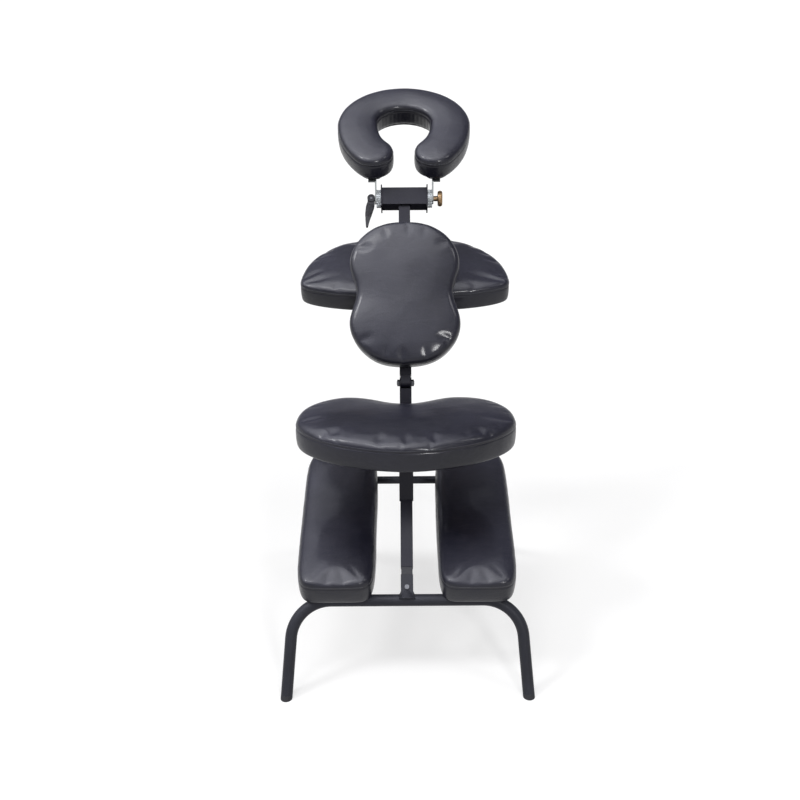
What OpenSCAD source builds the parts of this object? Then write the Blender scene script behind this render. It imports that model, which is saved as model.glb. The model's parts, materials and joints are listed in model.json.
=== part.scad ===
// Portable kneeling chair for tattoo and massage work.
// X is to the sitter's right, Y is the way the sitter faces, Z is up.
// Side profiles are laid out in the YZ plane; each frame member has a length and a lean.

/* [Base frame] */
// Distance from the frame's middle back to the rear bar's axis
bar_back = 224; // [215:1:232]
// Height of the rear bar's axis above the floor
rear_bar_height = 196; // [170:1:230]
// Backward lean of the rear legs from vertical, degrees
rear_lean = 20; // [12:1:26]
// Outward splay of the rear legs, degrees
rear_splay = 5; // [0:1:8]
// Outer diameter of the leg tube
leg_tube_d = 25; // [22:1:28]
// Wall of the leg tube
leg_wall = 1.8; // [1.5:0.1:2.2]
// Distance of the rear legs' axes outside the knee pads' outer edges
rear_leg_out = 15; // [4:1:30]
// Bend radius of the leg tube's axis
leg_bend_r = 86; // [70:1:96]
// Distance from the rear bar's axis to the crossbar's axis
rail_run = 375; // [350:1:400]
// Rise of the knee rails towards the front, degrees
knee_slope = 13.8; // [10:0.2:17]
// Height of a knee rail's section
rail_h = 26; // [26:1:30]
// Width of a knee rail's section
rail_w = 20; // [18:1:24]
// Wall of the square and flat-sided tubes
tube_wall = 2; // [1.6:0.1:2.4]
// Forward lean of the front legs from vertical, degrees
front_lean = 28; // [22:1:32]
// Distance of the front legs' axes inside the knee pads' outer edges, at the crossbar
front_leg_in = 25; // [18:1:32]
// Outward splay of the front legs, degrees
front_splay = 6; // [2:1:8]
// Diameter of the crossbar that the front legs swing on
crossbar_d = 18; // [16:1:20]

/* [Spine and mast] */
// Side of the square spine and mast tube
mast_side = 26; // [25:1:28]
// Drop from the seat's underside to the mast's foot
foot_drop = 18; // [16:1:26]
// Lean of the spine from vertical, degrees
spine_lean = 45; // [44:0.5:46]
// Length of the stub that stands on the rear bar, from the bar's axis
stub_len = 52; // [44:1:60]
// Length of the plastic collar between stub and spine
stub_collar_len = 16; // [10:1:20]
// Distance from the mast's foot to the hinge bolt
mast_foot_len = 107; // [102:1:116]
// Lean of the mast's foot from vertical, degrees
mast_foot_lean = 19; // [17:1:21]
// Lean of the mast above its hinge, degrees
mast_lean = 35; // [33:1:37]
// Distance along the mast from the chest pad's upper end to the head clamp's axis
head_rise = 78; // [72:1:92]
// Diameter of the hinge bolt
hinge_bolt_d = 8; // [6:1:10]
// Side of the square front strut
strut_side = 22; // [20:1:24]
// Side of the square seat post
seat_post_side = 30; // [28:1:34]

/* [Seat] */
// Width of the seat
seat_w = 466; // [430:2:490]
// Depth of the seat behind its widest line
seat_rear_depth = 132; // [115:1:145]
// Depth of the seat in front of its widest line, before the notch
seat_front_depth = 140; // [130:1:150]
// Depth of the notch that the mast stands in
seat_notch = 55; // [52:1:66]
// Half width of the notch
seat_notch_w = 90; // [80:1:100]
// Height of the seat's side up to its seam
seat_t = 58; // [50:1:66]
// Rise of the seat's crown above its seam
seat_crown = 11; // [6:1:14]
// Height of the seat's underside
seat_height = 480; // [472:1:500]
// Distance from the mast's foot back to the seat's widest line
seat_back = 105; // [100:1:117]

/* [Chest pad] */
// Length of the chest pad
chest_len = 326; // [300:2:340]
// Width of the chest pad's lobes
chest_w = 242; // [220:2:256]
// Width of the chest pad's waist
chest_waist = 212; // [195:1:220]
// Height of the chest pad's side up to its seam
chest_t = 46; // [40:1:52]
// Rise of the chest pad's crown
chest_crown = 10; // [6:1:13]
// Distance along the mast from its hinge to the chest pad's lower end
chest_start = 28; // [24:1:34]

/* [Arm pad] */
// Width of the arm pad
arm_w = 482; // [440:2:500]
// Depth of the arm pad
arm_depth = 260; // [230:2:276]
// Depth of the arm pad behind its widest line
arm_rear_depth = 50; // [42:1:60]
// Height of the arm pad's side up to its seam
arm_t = 50; // [44:1:54]
// Rise of the arm pad's crown
arm_crown = 9; // [6:1:12]
// Upward tilt of the arm pad's far edge, degrees
arm_tilt = 15; // [12:1:17]

/* [Face cradle] */
// Width of the face cradle
cradle_w = 308; // [290:1:318]
// Length of the face cradle
cradle_len = 285; // [272:1:296]
// Width of the face opening
face_w = 122; // [112:1:130]
// Width of the gap between the lobe ends
neck_gap = 46; // [40:1:56]
// Height of the face cushion's side up to its seam
cradle_t = 46; // [40:1:54]
// Rise of the face cushion's crown
cradle_crown = 12; // [8:1:15]
// Upward tilt of the face cradle's far end, degrees
cradle_tilt = 27; // [22:1:30]
// Distance from the clamp's axis to the cradle's base plate
arm_rise = 41; // [38:1:48]

/* [Head clamp] */
// Length of the head channel between its end plates' outer faces
channel_len = 107; // [98:1:115]
// Side of the head channel's section
channel_side = 40; // [38:1:42]
// Side of a flared end plate
end_plate_side = 50; // [48:1:54]
// Diameter of the toothed discs
disc_d = 41; // [38:1:44]
// Thickness of a toothed disc
disc_t = 6.4; // [5.5:0.1:7]
// Number of teeth round a disc
disc_teeth = 30; // [24:1:36]
// Diameter of the clamp rod
rod_d = 8; // [6:1:9]
// Length of the cam lever's handle
lever_len = 68; // [55:1:80]
// Diameter of the brass knob
knob_d = 35; // [30:1:38]
// Thickness of the brass knob's head
knob_t = 11; // [8:1:13]

/* [Knee pads] */
// Width of a knee pad
knee_w = 164; // [144:2:176]
// Length of a knee pad
knee_len = 418; // [398:2:438]
// Distance between the two knee pads
knee_gap = 132; // [120:2:144]
// Height of a knee pad's side up to its seam
knee_t = 57; // [48:1:62]
// Rise of a knee pad's crown
knee_crown = 9; // [5:1:12]
// Overhang of the knee pads behind the rear bar's axis
knee_overhang = 22; // [18:1:26]

/* [Cushion make-up] */
// Thickness of the plywood boards
board_t = 12; // [9:1:15]
// Width of the cover's rim around a board
rim = 12; // [9:1:15]
// Thickness of steel plates
plate_t = 3; // [2.5:0.1:4]

/* [Hidden] */

steel_black = [0.16, 0.16, 0.19];
steel_grey = [0.34, 0.34, 0.37];
leather_black = [0.12, 0.12, 0.14];
plywood = [0.62, 0.5, 0.36];
silver = [0.72, 0.74, 0.74];
plastic_black = [0.08, 0.08, 0.09];
brass = [0.6, 0.48, 0.33];

fit = 0.05;
weld_gap = 0.05;
slide_fit = 0.1;
seat_gap = 0.3;
over = 1;
fine = 48;
facets = 24;

plug_t = 7;
plug_grip = 18;
screw_d = 5;
screw_head_d = 10;
screw_head_t = 3;
screw_bite = 8;
collar_r_gap = 0.2;
stop_run = 45;
stop_t = 6;
stop_h = 16;
seat_plate_w = 220;
seat_plate_d = 130;
seat_post_back = 4.06;
chest_bar_w = 60;
chest_bar_at = 72;
chest_bar_end = 24;
chest_sleeve_len = 60;
chest_sleeve_drop = 118;
head_gap = 2;
arm_at = 214;
arm_clear = 9;
arm_pivot_out = 48;
arm_pivot_at = 140;
arm_pivot_d = 8;
arm_bracket_h = 46;
arm_flange_w = 120;
arm_flange_d = 96;
post_grip = 110;
lock_knob_d = 26;
lock_knob_t = 13;
lock_reach = 9;
cradle_plate_t = 8;
cradle_setback = 19;
cradle_bite = 4;
cradle_screw_share = [0.22, 0.78];
cradle_inset = 12;
cradle_tab_w = 18;
cradle_tab_len = 62;
knob_neck_d = 12;
knob_neck_len = 9.5;
hub_r = 9;
lever_t = 11;
hub_w = 16;
cam_pin_d = 5;
stub_grip = 30;
nut_t = 6.5;
head_t = 5.5;
bolt_af = 13;

leg_r = leg_tube_d / 2;
half_mast = mast_side / 2;
mast_bore = mast_side - 2 * tube_wall;
post_side = mast_bore - 2 * slide_fit;
hinge_gap = half_mast * 1.3;
foot_gap = mast_bore / 2 + seat_gap;
crossbar_r = crossbar_d / 2;
rail_top = rail_h / 2;
knee_x = (knee_gap + knee_w) / 2;
knees_w = knee_gap + 2 * knee_w;
rear_leg_span = knees_w + 2 * rear_leg_out;
front_leg_span = knees_w - 2 * front_leg_in;
spine_run = (seat_height - foot_drop - rear_bar_height) / cos(spine_lean);
chest_end = chest_start + chest_len;
head_run = chest_end + head_rise;
mast_len = head_run - channel_side / 2 - head_gap;
chest_sleeve_at = chest_end - chest_sleeve_drop;
chest_bar_len = chest_len - chest_bar_at - chest_bar_end;

// Side-profile points, each [y, z]
bar_pt = [-bar_back, rear_bar_height];
crossbar_pt = bar_pt + rail_run * [cos(knee_slope), sin(knee_slope)];
foot_pt = bar_pt + spine_run * [sin(spine_lean), cos(spine_lean)];
hinge_pt = foot_pt + mast_foot_len * [sin(mast_foot_lean), cos(mast_foot_lean)];
head_pt = hinge_pt + head_run * [sin(mast_lean), cos(mast_lean)];
rear_foot_y = bar_pt[0] - rear_bar_height * tan(rear_lean);
front_foot_y = crossbar_pt[0] + crossbar_pt[1] * tan(front_lean);
cradle_near = head_pt + [-cradle_setback, arm_rise];
cradle_far_y = cradle_near[0] + cradle_len * cos(cradle_tilt);
origin_y = (rear_foot_y - leg_r / cos(rear_lean) + cradle_far_y) / 2;

// Places a child on a side-profile point, its Z axis leaning forward by a
module lean_at(p, a) {
    translate([0, p[0], p[1]]) rotate([-a, 0, 0]) children();
}

module at_bar() { lean_at(bar_pt, 0) children(); }
module on_spine() { lean_at(bar_pt, spine_lean) children(); }
module on_foot() { lean_at(foot_pt, mast_foot_lean) children(); }
module on_mast() { lean_at(hinge_pt, mast_lean) children(); }
module on_slope() { lean_at(bar_pt, -knee_slope) children(); }
module at_head() { lean_at(head_pt, mast_lean) children(); }

module whole() { translate([0, -origin_y, 0]) children(); }

module cyl_x(r, l) { rotate([0, 90, 0]) cylinder(r = r, h = l, center = true, $fn = fine); }

module bar_box(w, d, h) { translate([-w / 2, -d / 2, 0]) cube([w, d, h]); }

module square_tube(side, wall, h) {
    difference() {
        bar_box(side, side, h);
        translate([0, 0, -over]) bar_box(side - 2 * wall, side - 2 * wall, h + 2 * over);
    }
}

module hex_head(af, h) { cylinder(d = af / cos(30), h = h, $fn = 6); }

// Screw with its head below z = 0 and its shank above, through a plate of thickness t
module screw(t, bite = screw_bite) {
    translate([0, 0, -screw_head_t]) cylinder(d = screw_head_d, h = screw_head_t, $fn = facets);
    cylinder(d = screw_d, h = t + bite, $fn = facets);
}

module screw_hole(t, bite = screw_bite) {
    translate([0, 0, -over]) cylinder(d = screw_d + 4 * fit, h = t + bite + over, $fn = facets);
}

// Four places on the corners of a rectangle
module four(w, d) {
    for (i = [-1, 1], j = [-1, 1]) translate([i * w / 2, j * d / 2, 0]) children();
}

module both_sides() {
    children();
    mirror([1, 0, 0]) children();
}

// Cushion outlines: closed lists of points, counter-clockwise, widest line on y = 0
function power(v, e) = sign(v) * pow(abs(v), e);
function bump(v, w) = exp(-pow(v / w, 2));
function lobe(n, w, front, rear, front_n, rear_n) = [
    for (i = [0:n - 1])
        let (a = 360 * i / n, e = 2 / (sin(a) > 0 ? front_n : rear_n))
        [w / 2 * power(cos(a), e), (sin(a) > 0 ? front : rear) * power(sin(a), e)]
];

seat_outline = [
    for (p = lobe(72, seat_w, seat_front_depth, seat_rear_depth, 2.4, 1.8))
        [p[0], p[1] - (p[1] > 0 ? seat_notch * bump(p[0], seat_notch_w) : 0)]
];
lobe_share = 0.9;
chest_amp = chest_w / lobe_share;
waist_share = 1 - chest_waist / chest_amp;
chest_outline = [
    for (p = lobe(60, chest_amp, chest_len / 2, chest_len / 2, 2.4, 2.4))
        [p[0] * (1 - waist_share * bump(p[1], chest_len / 6)), p[1]]
];
arm_outline = lobe(60, arm_w, arm_depth - arm_rear_depth, arm_rear_depth, 2.2, 2.4);
knee_outline = lobe(56, knee_w, knee_len / 2, knee_len / 2, 7, 7);

// Unit normals that point out of an outline
function out_normal(o, i) =
    let (n = len(o), d = o[(i + 1) % n] - o[(i + n - 1) % n]) [d[1], -d[0]] / norm(d);
function inset(o, k) = [for (i = [0:len(o) - 1]) o[i] - k * out_normal(o, i)];
function ring(o, h) = [for (p = o) [p[0], p[1], h]];
function shrink(o, c, k) = [for (p = o) c + k * (p - c)];

// Upholstered pad: underside with a recess for its board, drawn-in sides, seam and crown.
// Each ring is an inset of the outline at a height; the last two shrink towards the middle.
module cushion(o, mid, t, crown) {
    n = len(o);
    soft = crown / 4;
    shoulder = inset(o, 2 * crown);
    rings = [
        ring(shrink(inset(o, rim), mid, 0.5), board_t + seat_gap),
        ring(inset(o, rim), board_t + seat_gap),
        ring(inset(o, rim), 0),
        ring(inset(o, soft), 0),
        ring(inset(o, soft / 4), t * 0.2),
        ring(o, t * 0.6),
        ring(inset(o, soft), t),
        ring(inset(o, crown * 0.8), t + crown * 0.45),
        ring(shoulder, t + crown * 0.75),
        ring(shrink(shoulder, mid, 0.6), t + crown * 0.95)
    ];
    m = len(rings);
    points = concat(
        [for (r = rings) for (p = r) p],
        [[mid[0], mid[1], board_t + seat_gap], [mid[0], mid[1], t + crown]]
    );
    faces = concat(
        [for (i = [0:n - 1]) [m * n, i, (i + 1) % n]],
        [for (k = [0:m - 2]) for (i = [0:n - 1]) [k * n + i, (k + 1) * n + i, k * n + (i + 1) % n]],
        [for (k = [0:m - 2]) for (i = [0:n - 1])
            [(k + 1) * n + i, (k + 1) * n + (i + 1) % n, k * n + (i + 1) % n]],
        [for (i = [0:n - 1]) [m * n + 1, (m - 1) * n + (i + 1) % n, (m - 1) * n + i]]
    );
    polyhedron(points = points, faces = faces, convexity = 6);
}

module board(o) {
    linear_extrude(board_t) polygon(inset(o, rim + seat_gap));
}

// Horseshoe path of the face cradle; y = 0 is its near end
lobe_w = (cradle_w - face_w) / 2;
path_a = (cradle_w - lobe_w) / 2;
crown_w_share = 0.88;
path_mid = cradle_len * 0.53;
path_far = cradle_len - lobe_w * crown_w_share / 2 - path_mid;
end_angle = acos((neck_gap + lobe_w) / 2 / path_a);
path_near = (path_mid - lobe_w / 2) / sin(end_angle);
path_steps = 26;
cap_steps = 5;
function on_path(a) = [path_a * cos(a), path_mid + (sin(a) > 0 ? path_far : path_near) * sin(a)];
function path_dir(a) =
    let (d = [-path_a * sin(a), (sin(a) > 0 ? path_far : path_near) * cos(a)]) d / norm(d);
function path_w(a) = lobe_w / 2 * (1 - (1 - crown_w_share) * max(0, sin(a)));
// Each station is [point, direction, half width, share of the full height]
function stations(less) = concat(
    [for (i = [cap_steps:-1:1])
        let (u = i / (cap_steps + 0.4), w = path_w(-end_angle) - less, d = path_dir(-end_angle))
        [on_path(-end_angle) - d * w * u, d, w * sqrt(1 - u * u), sqrt(1 - u * u)]],
    [for (i = [0:path_steps])
        let (a = -end_angle + i * (180 + 2 * end_angle) / path_steps)
        [on_path(a), path_dir(a), path_w(a) - less, 1]],
    [for (i = [1:cap_steps])
        let (u = i / (cap_steps + 0.4), w = path_w(-end_angle) - less, d = path_dir(180 + end_angle))
        [on_path(180 + end_angle) + d * w * u, d, w * sqrt(1 - u * u), sqrt(1 - u * u)]]
);
function station_point(s, u) = s[0] + [s[1][1], -s[1][0]] * s[2] * u;

// Cross-section of the face cushion: [share of the half width, height, crown share]
section = [
    [-0.9, 0, 0], [0.9, 0, 0], [0.99, 0.2, 0], [1, 0.6, 0], [0.95, 1, 0], [0.8, 1, 0.5],
    [0.45, 1, 0.9], [0, 1, 1], [-0.45, 1, 0.9], [-0.8, 1, 0.5], [-0.95, 1, 0], [-1, 0.6, 0], [-0.99, 0.2, 0]
];

module face_cushion() {
    st = stations(0);
    m = len(section);
    n = len(st);
    points = [
        for (s = st) for (q = section)
            let (p = station_point(s, q[0])) [p[0], p[1], cradle_t * q[1] + cradle_crown * q[2] * s[3]]
    ];
    faces = concat(
        [[for (j = [m - 1:-1:0]) j]],
        [for (k = [0:n - 2]) for (j = [0:m - 1]) [k * m + j, k * m + (j + 1) % m, (k + 1) * m + j]],
        [for (k = [0:n - 2]) for (j = [0:m - 1])
            [(k + 1) * m + j, k * m + (j + 1) % m, (k + 1) * m + (j + 1) % m]],
        [[for (j = [0:m - 1]) (n - 1) * m + j]]
    );
    polyhedron(points = points, faces = faces, convexity = 6);
}

// Rear leg frame: bar, two bends and two splayed legs
bend_turn = 90 - rear_splay;
bend_x = rear_leg_span / 2 - leg_bend_r;
bend_end = [bend_x + leg_bend_r * sin(bend_turn), -leg_bend_r * (1 - cos(bend_turn))];
rear_leg_len = (rear_bar_height / cos(rear_lean) + bend_end[1]) / cos(rear_splay);

module tube_ring(r) {
    difference() {
        circle(r = r, $fn = fine);
        circle(r = r - leg_wall, $fn = fine);
    }
}

module at_rear_leg() {
    lean_at(bar_pt, rear_lean) translate([bend_end[0], 0, bend_end[1]])
        rotate([0, 180 - rear_splay, 0]) children();
}

module rear_leg_frame() color(steel_grey) whole() {
    lean_at(bar_pt, rear_lean) {
        difference() {
            cyl_x(leg_r, 2 * bend_x);
            cyl_x(leg_r - leg_wall, 2 * bend_x + over);
        }
        both_sides()
            translate([bend_x, 0, -leg_bend_r]) rotate([90, 0, 0]) rotate([0, 0, rear_splay])
                rotate_extrude(angle = bend_turn, $fn = 2 * fine)
                    translate([leg_bend_r, 0]) tube_ring(leg_r);
    }
    both_sides() at_rear_leg() linear_extrude(rear_leg_len - plug_t) tube_ring(leg_r);
}

// Stub that is welded on the middle of the rear bar, with a flared foot
flare_h = leg_r + half_mast / 2;
spine_screw_at = flare_h + 0.6 * screw_head_d;
module spine_screw_hole() {
    on_spine() translate([0, 0, spine_screw_at]) rotate([90, 0, 0]) screw_hole(mast_side);
}

module spine_stub() color(steel_grey) whole() difference() {
    on_spine() {
        square_tube(mast_side, tube_wall, stub_len);
        difference() {
            cylinder(r1 = half_mast * 1.7, r2 = half_mast, h = flare_h, $fn = fine);
            translate([0, 0, -over]) bar_box(mast_side - over, mast_side - over, stub_len);
        }
    }
    at_bar() cyl_x(leg_r + weld_gap, rear_leg_span);
    spine_screw_hole();
}

floor_cut = 2 * rear_leg_span;
module above_floor() {
    difference() {
        children();
        translate([-floor_cut / 2, -floor_cut / 2, -floor_cut]) cube([floor_cut, floor_cut, floor_cut]);
    }
}

// Plug for the end of a leg that runs along +Z; its foot is cut flat on the floor
module leg_plug(len) {
    translate([0, 0, len - plug_t]) cylinder(r = leg_r, h = plug_t + leg_r, $fn = fine);
    translate([0, 0, len - plug_t - plug_grip])
        cylinder(r = leg_r - leg_wall - fit, h = plug_grip, $fn = fine);
}

module rear_feet() color(plastic_black) whole() above_floor()
    both_sides() at_rear_leg() leg_plug(rear_leg_len);

// Rails under the knee pads
module rail() {
    difference() {
        translate([knee_x - rail_w / 2, 0, -rail_h / 2]) cube([rail_w, rail_run, rail_h]);
        translate([knee_x - rail_w / 2 + tube_wall, -over, -rail_h / 2 + tube_wall])
            cube([rail_w - 2 * tube_wall, rail_run + 2 * over, rail_h - 2 * tube_wall]);
        cyl_x(leg_r + weld_gap, floor_cut);
        translate([0, rail_run, 0]) cyl_x(collar_r + weld_gap, floor_cut);
        for (y = knee_screw_places) translate([knee_x, y, -rail_h / 2]) screw_hole(rail_h);
    }
}
collar_r = rail_top - collar_r_gap;
knee_screw_share = [0.22, 0.5, 0.8];
knee_screw_places = [for (s = knee_screw_share) rail_run * s];

module knee_rails() color(steel_black) whole() on_slope() both_sides() rail();

module crossbar_collars() color(steel_black) whole() lean_at(crossbar_pt, 0) {
    for (x = [-knee_x, 0, knee_x]) translate([x, 0, 0]) difference() {
        cyl_x(collar_r, x == 0 ? seat_post_side : rail_w);
        cyl_x(crossbar_r + fit, seat_post_side + 2 * over);
    }
}

// Stops that hold the front legs in their open place
stop_x = front_leg_span / 2 + leg_r;
cheek_x = knee_x + rail_w / 2 + weld_gap;
module leg_stops() color(steel_black) whole() lean_at(crossbar_pt, 0) both_sides() {
    difference() {
        translate([cheek_x, 0, 0]) rotate([90, 0, 90]) linear_extrude(plate_t) hull() {
            circle(r = collar_r, $fn = facets);
            translate(-2 * rail_h * [cos(knee_slope), sin(knee_slope)]) circle(r = rail_h / 3, $fn = facets);
            rotate(front_lean) translate([leg_r + stop_t / 2 + slide_fit, -stop_run])
                circle(r = stop_h / 2, $fn = facets);
        }
        cyl_x(crossbar_r + 5 * slide_fit, floor_cut);
    }
    rotate([front_lean, 0, 0])
        translate([cheek_x + plate_t - fit, leg_r + slide_fit, -stop_run - stop_h / 2])
            cube([stop_x - cheek_x - plate_t, stop_t, stop_h]);
}

// Spine, its plastic collar and its screw
module spine_collar() color(plastic_black) whole() on_spine() translate([0, 0, stub_len]) difference() {
    bar_box(mast_side - tube_wall, mast_side - tube_wall, stub_collar_len);
    translate([0, 0, -over]) bar_box(mast_bore - fit, mast_bore - fit, stub_collar_len + 2 * over);
}

spine_start = stub_len + stub_collar_len;
module spine_tube() color(steel_black) whole() difference() {
    on_spine() {
        translate([0, 0, spine_start])
            square_tube(mast_side, tube_wall, spine_run + half_mast - spine_start);
        translate([0, 0, spine_start]) bar_box(mast_bore + fit, mast_bore + fit, mast_side);
        translate([0, 0, stub_len - stub_grip])
            bar_box(post_side, post_side, stub_grip + stub_collar_len + over);
    }
    spine_screw_hole();
}

module spine_screw() color(silver) whole() on_spine()
    translate([0, -half_mast, spine_screw_at]) rotate([-90, 0, 0]) screw(tube_wall);

module spine_envelope() {
    side = mast_side + 2 * weld_gap;
    on_spine() translate([0, 0, -over]) bar_box(side, side, spine_run + half_mast + over + weld_gap);
}

// Foot of the mast, with the two ears of the hinge
module mast_foot() color(steel_black) whole() difference() {
    on_foot() {
        square_tube(mast_side, tube_wall, mast_foot_len - foot_gap);
        translate([0, 0, mast_foot_len]) both_sides() difference() {
            translate([mast_bore / 2, 0, 0]) rotate([90, 0, 90]) linear_extrude(tube_wall) {
                circle(d = mast_side, $fn = fine);
                translate([-half_mast, -hinge_gap]) square([mast_side, hinge_gap]);
            }
            cyl_x(hinge_bolt_d / 2 + fit, floor_cut);
        }
    }
    spine_envelope();
}

module mast_bolt() color(silver) whole() lean_at(hinge_pt, mast_foot_lean) {
    cyl_x(hinge_bolt_d / 2, mast_side + 2 * nut_t);
    translate([-half_mast - fit, 0, 0]) rotate([0, -90, 0]) hex_head(bolt_af, head_t);
}

module mast_nut() color(silver) whole() lean_at(hinge_pt, mast_foot_lean)
    translate([half_mast + fit, 0, 0]) rotate([0, 90, 0]) difference() {
        hex_head(bolt_af, nut_t - over);
        translate([0, 0, -over]) cylinder(d = hinge_bolt_d + 2 * fit, h = 3 * nut_t, $fn = fine);
    }

// Strut from the crossbar's middle collar up to the mast's foot
strut_vec = foot_pt - crossbar_pt;
module front_strut() color(steel_black) whole() difference() {
    lean_at(crossbar_pt, atan2(strut_vec[0], strut_vec[1]))
        square_tube(strut_side, tube_wall, norm(strut_vec));
    lean_at(crossbar_pt, 0) cyl_x(collar_r + weld_gap, floor_cut);
    spine_envelope();
    on_foot() bar_box(mast_side + 2 * weld_gap, mast_side + 2 * weld_gap, mast_foot_len);
}

// Seat, its plate and post
seat_y = foot_pt[0] - seat_back;
seat_mid_y = seat_y - seat_post_back;
seat_post_base = bar_pt[1] + (seat_mid_y - bar_pt[0]) * tan(90 - spine_lean);
module at_seat_plate() { translate([0, seat_mid_y, seat_height - plate_t - seat_gap]) children(); }
module at_seat_screws() {
    at_seat_plate() four(seat_plate_w - 2 * rim, seat_plate_d - 2 * rim) children();
}

module seat_post() color(steel_black) whole() difference() {
    translate([0, seat_mid_y, seat_post_base])
        square_tube(seat_post_side, tube_wall, seat_height - plate_t - seat_gap - seat_post_base);
    spine_envelope();
}

module seat_plate() color(steel_black) whole() difference() {
    at_seat_plate() bar_box(seat_plate_w, seat_plate_d, plate_t);
    at_seat_screws() screw_hole(plate_t);
}

module seat_board() color(plywood) whole() difference() {
    translate([0, seat_y, seat_height]) board(seat_outline);
    at_seat_screws() screw_hole(plate_t);
}

module seat_screws() color(silver) whole() at_seat_screws() screw(plate_t);

module seat_cushion() color(leather_black) whole() translate([0, seat_y, seat_height])
    cushion(seat_outline, [0, -rim], seat_t, seat_crown);

// Knee pads
module at_knee() { on_slope() translate([knee_x, knee_len / 2 - knee_overhang, rail_top + fit]) children(); }

module knee_board() {
    difference() {
        at_knee() board(knee_outline);
        on_slope() for (y = knee_screw_places) translate([knee_x, y, -rail_h / 2]) screw_hole(rail_h);
    }
}

module knee_board_left() color(plywood) whole() mirror([1, 0, 0]) knee_board();
module knee_board_right() color(plywood) whole() knee_board();
module knee_cushion_left() color(leather_black) whole() mirror([1, 0, 0])
    at_knee() cushion(knee_outline, [0, 0], knee_t, knee_crown);
module knee_cushion_right() color(leather_black) whole()
    at_knee() cushion(knee_outline, [0, 0], knee_t, knee_crown);
module knee_screws() color(silver) whole() on_slope() both_sides()
    for (y = knee_screw_places) translate([knee_x, y, -rail_h / 2]) screw(rail_h);

// Front legs, which swing on the crossbar
front_leg_len = crossbar_pt[1] / cos(front_lean) / cos(front_splay);
module at_front_leg() {
    lean_at(crossbar_pt, -front_lean) translate([front_leg_span / 2, 0, 0])
        rotate([0, 180 - front_splay, 0]) children();
}

module front_leg_frame() color(steel_grey) whole() {
    lean_at(crossbar_pt, 0) cyl_x(crossbar_r, front_leg_span);
    both_sides() at_front_leg() {
        sphere(r = leg_r, $fn = fine);
        cylinder(r = leg_r, h = leg_tube_d, $fn = fine);
        linear_extrude(front_leg_len - plug_t) tube_ring(leg_r);
    }
}

module front_feet() color(plastic_black) whole() above_floor()
    both_sides() at_front_leg() leg_plug(front_leg_len);

// Mast above the hinge
module mast_tube() color(steel_black) whole() on_mast() {
    difference() {
        translate([0, 0, hinge_gap]) square_tube(mast_side, tube_wall, mast_len - hinge_gap);
        at_post_lock() lock_hole();
    }
    at_post_lock() translate([half_mast, 0, 0]) lock_boss();
    difference() {
        rotate([90, 0, 90]) translate([0, 0, -post_side / 2]) linear_extrude(post_side) {
            circle(d = mast_bore, $fn = fine);
            translate([-mast_bore / 2, 0]) square([mast_bore, hinge_gap + mast_side]);
        }
        cyl_x(hinge_bolt_d / 2 + fit, floor_cut);
    }
}

// Thumb screw that locks a slide: its shank starts at x = 0 and its head lies past the reach
module lock_knob(reach) {
    rotate([0, 90, 0]) {
        cylinder(d = screw_d, h = reach + lock_knob_t, $fn = facets);
        translate([0, 0, reach]) difference() {
            cylinder(d = lock_knob_d, h = lock_knob_t, $fn = fine);
            for (i = [0:5]) rotate(60 * i) translate([lock_knob_d * 0.62, 0, -over])
                cylinder(d = lock_knob_d / 2.6, h = lock_knob_t + 2 * over, $fn = facets);
        }
    }
}

// Nut that is welded over a lock screw's hole, its seat on x = 0
module lock_boss() {
    rotate([0, 90, 0]) difference() {
        hex_head(bolt_af, nut_t);
        translate([0, 0, -over]) cylinder(d = screw_d + 2 * fit, h = nut_t + 2 * over, $fn = fine);
    }
}
module lock_hole() { rotate([0, 90, 0]) cylinder(d = screw_d + 2 * fit, h = mast_side, $fn = fine); }

// The head post's lock screw is on the far side of the mast
post_lock_at = mast_len - half_mast;
post_lock_x = post_side / 2 + seat_gap;
module at_post_lock() { translate([0, 0, post_lock_at]) rotate([0, 0, 90]) children(); }
module post_screw() color(plastic_black) whole() on_mast() at_post_lock()
    translate([post_lock_x, 0, 0]) lock_knob(half_mast + lock_reach - post_lock_x);

// Sleeve of the chest pad, welded from four plates round the mast, and the flat bar behind it
sleeve_in = mast_side + 2 * slide_fit;
sleeve_out = sleeve_in + 2 * plate_t;
chest_plane = sleeve_out / 2 + plate_t;
module chest_sleeve() color(steel_black) whole() on_mast() translate([0, 0, chest_sleeve_at]) {
    difference() {
        both_sides() translate([sleeve_in / 2, -sleeve_out / 2, 0])
            cube([plate_t, sleeve_out, chest_sleeve_len]);
        translate([0, 0, chest_sleeve_len / 2]) lock_hole();
    }
    for (y = [-sleeve_out / 2, sleeve_in / 2]) translate([weld_gap - sleeve_in / 2, y, 0])
        cube([sleeve_in - 2 * weld_gap, plate_t, chest_sleeve_len]);
    translate([sleeve_out / 2, 0, chest_sleeve_len / 2]) lock_boss();
}

module chest_bar() color(steel_black) whole() on_mast() difference() {
    translate([-chest_bar_w / 2, -chest_plane, chest_start + chest_bar_at])
        cube([chest_bar_w, plate_t, chest_bar_len]);
    at_chest_screws() screw_hole(plate_t);
}

module at_chest() {
    on_mast() translate([0, -chest_plane - seat_gap, chest_start + chest_len / 2])
        rotate([90, 0, 0]) children();
}
module at_chest_screws() {
    translate([0, -chest_plane + plate_t, chest_start + chest_bar_at + chest_bar_len / 2])
        rotate([90, 0, 0]) four(chest_bar_w - screw_head_d - 2 * over, chest_bar_len - 3 * rim) children();
}

module chest_board() color(plywood) whole() difference() {
    at_chest() board(chest_outline);
    on_mast() at_chest_screws() screw_hole(plate_t);
}

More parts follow.
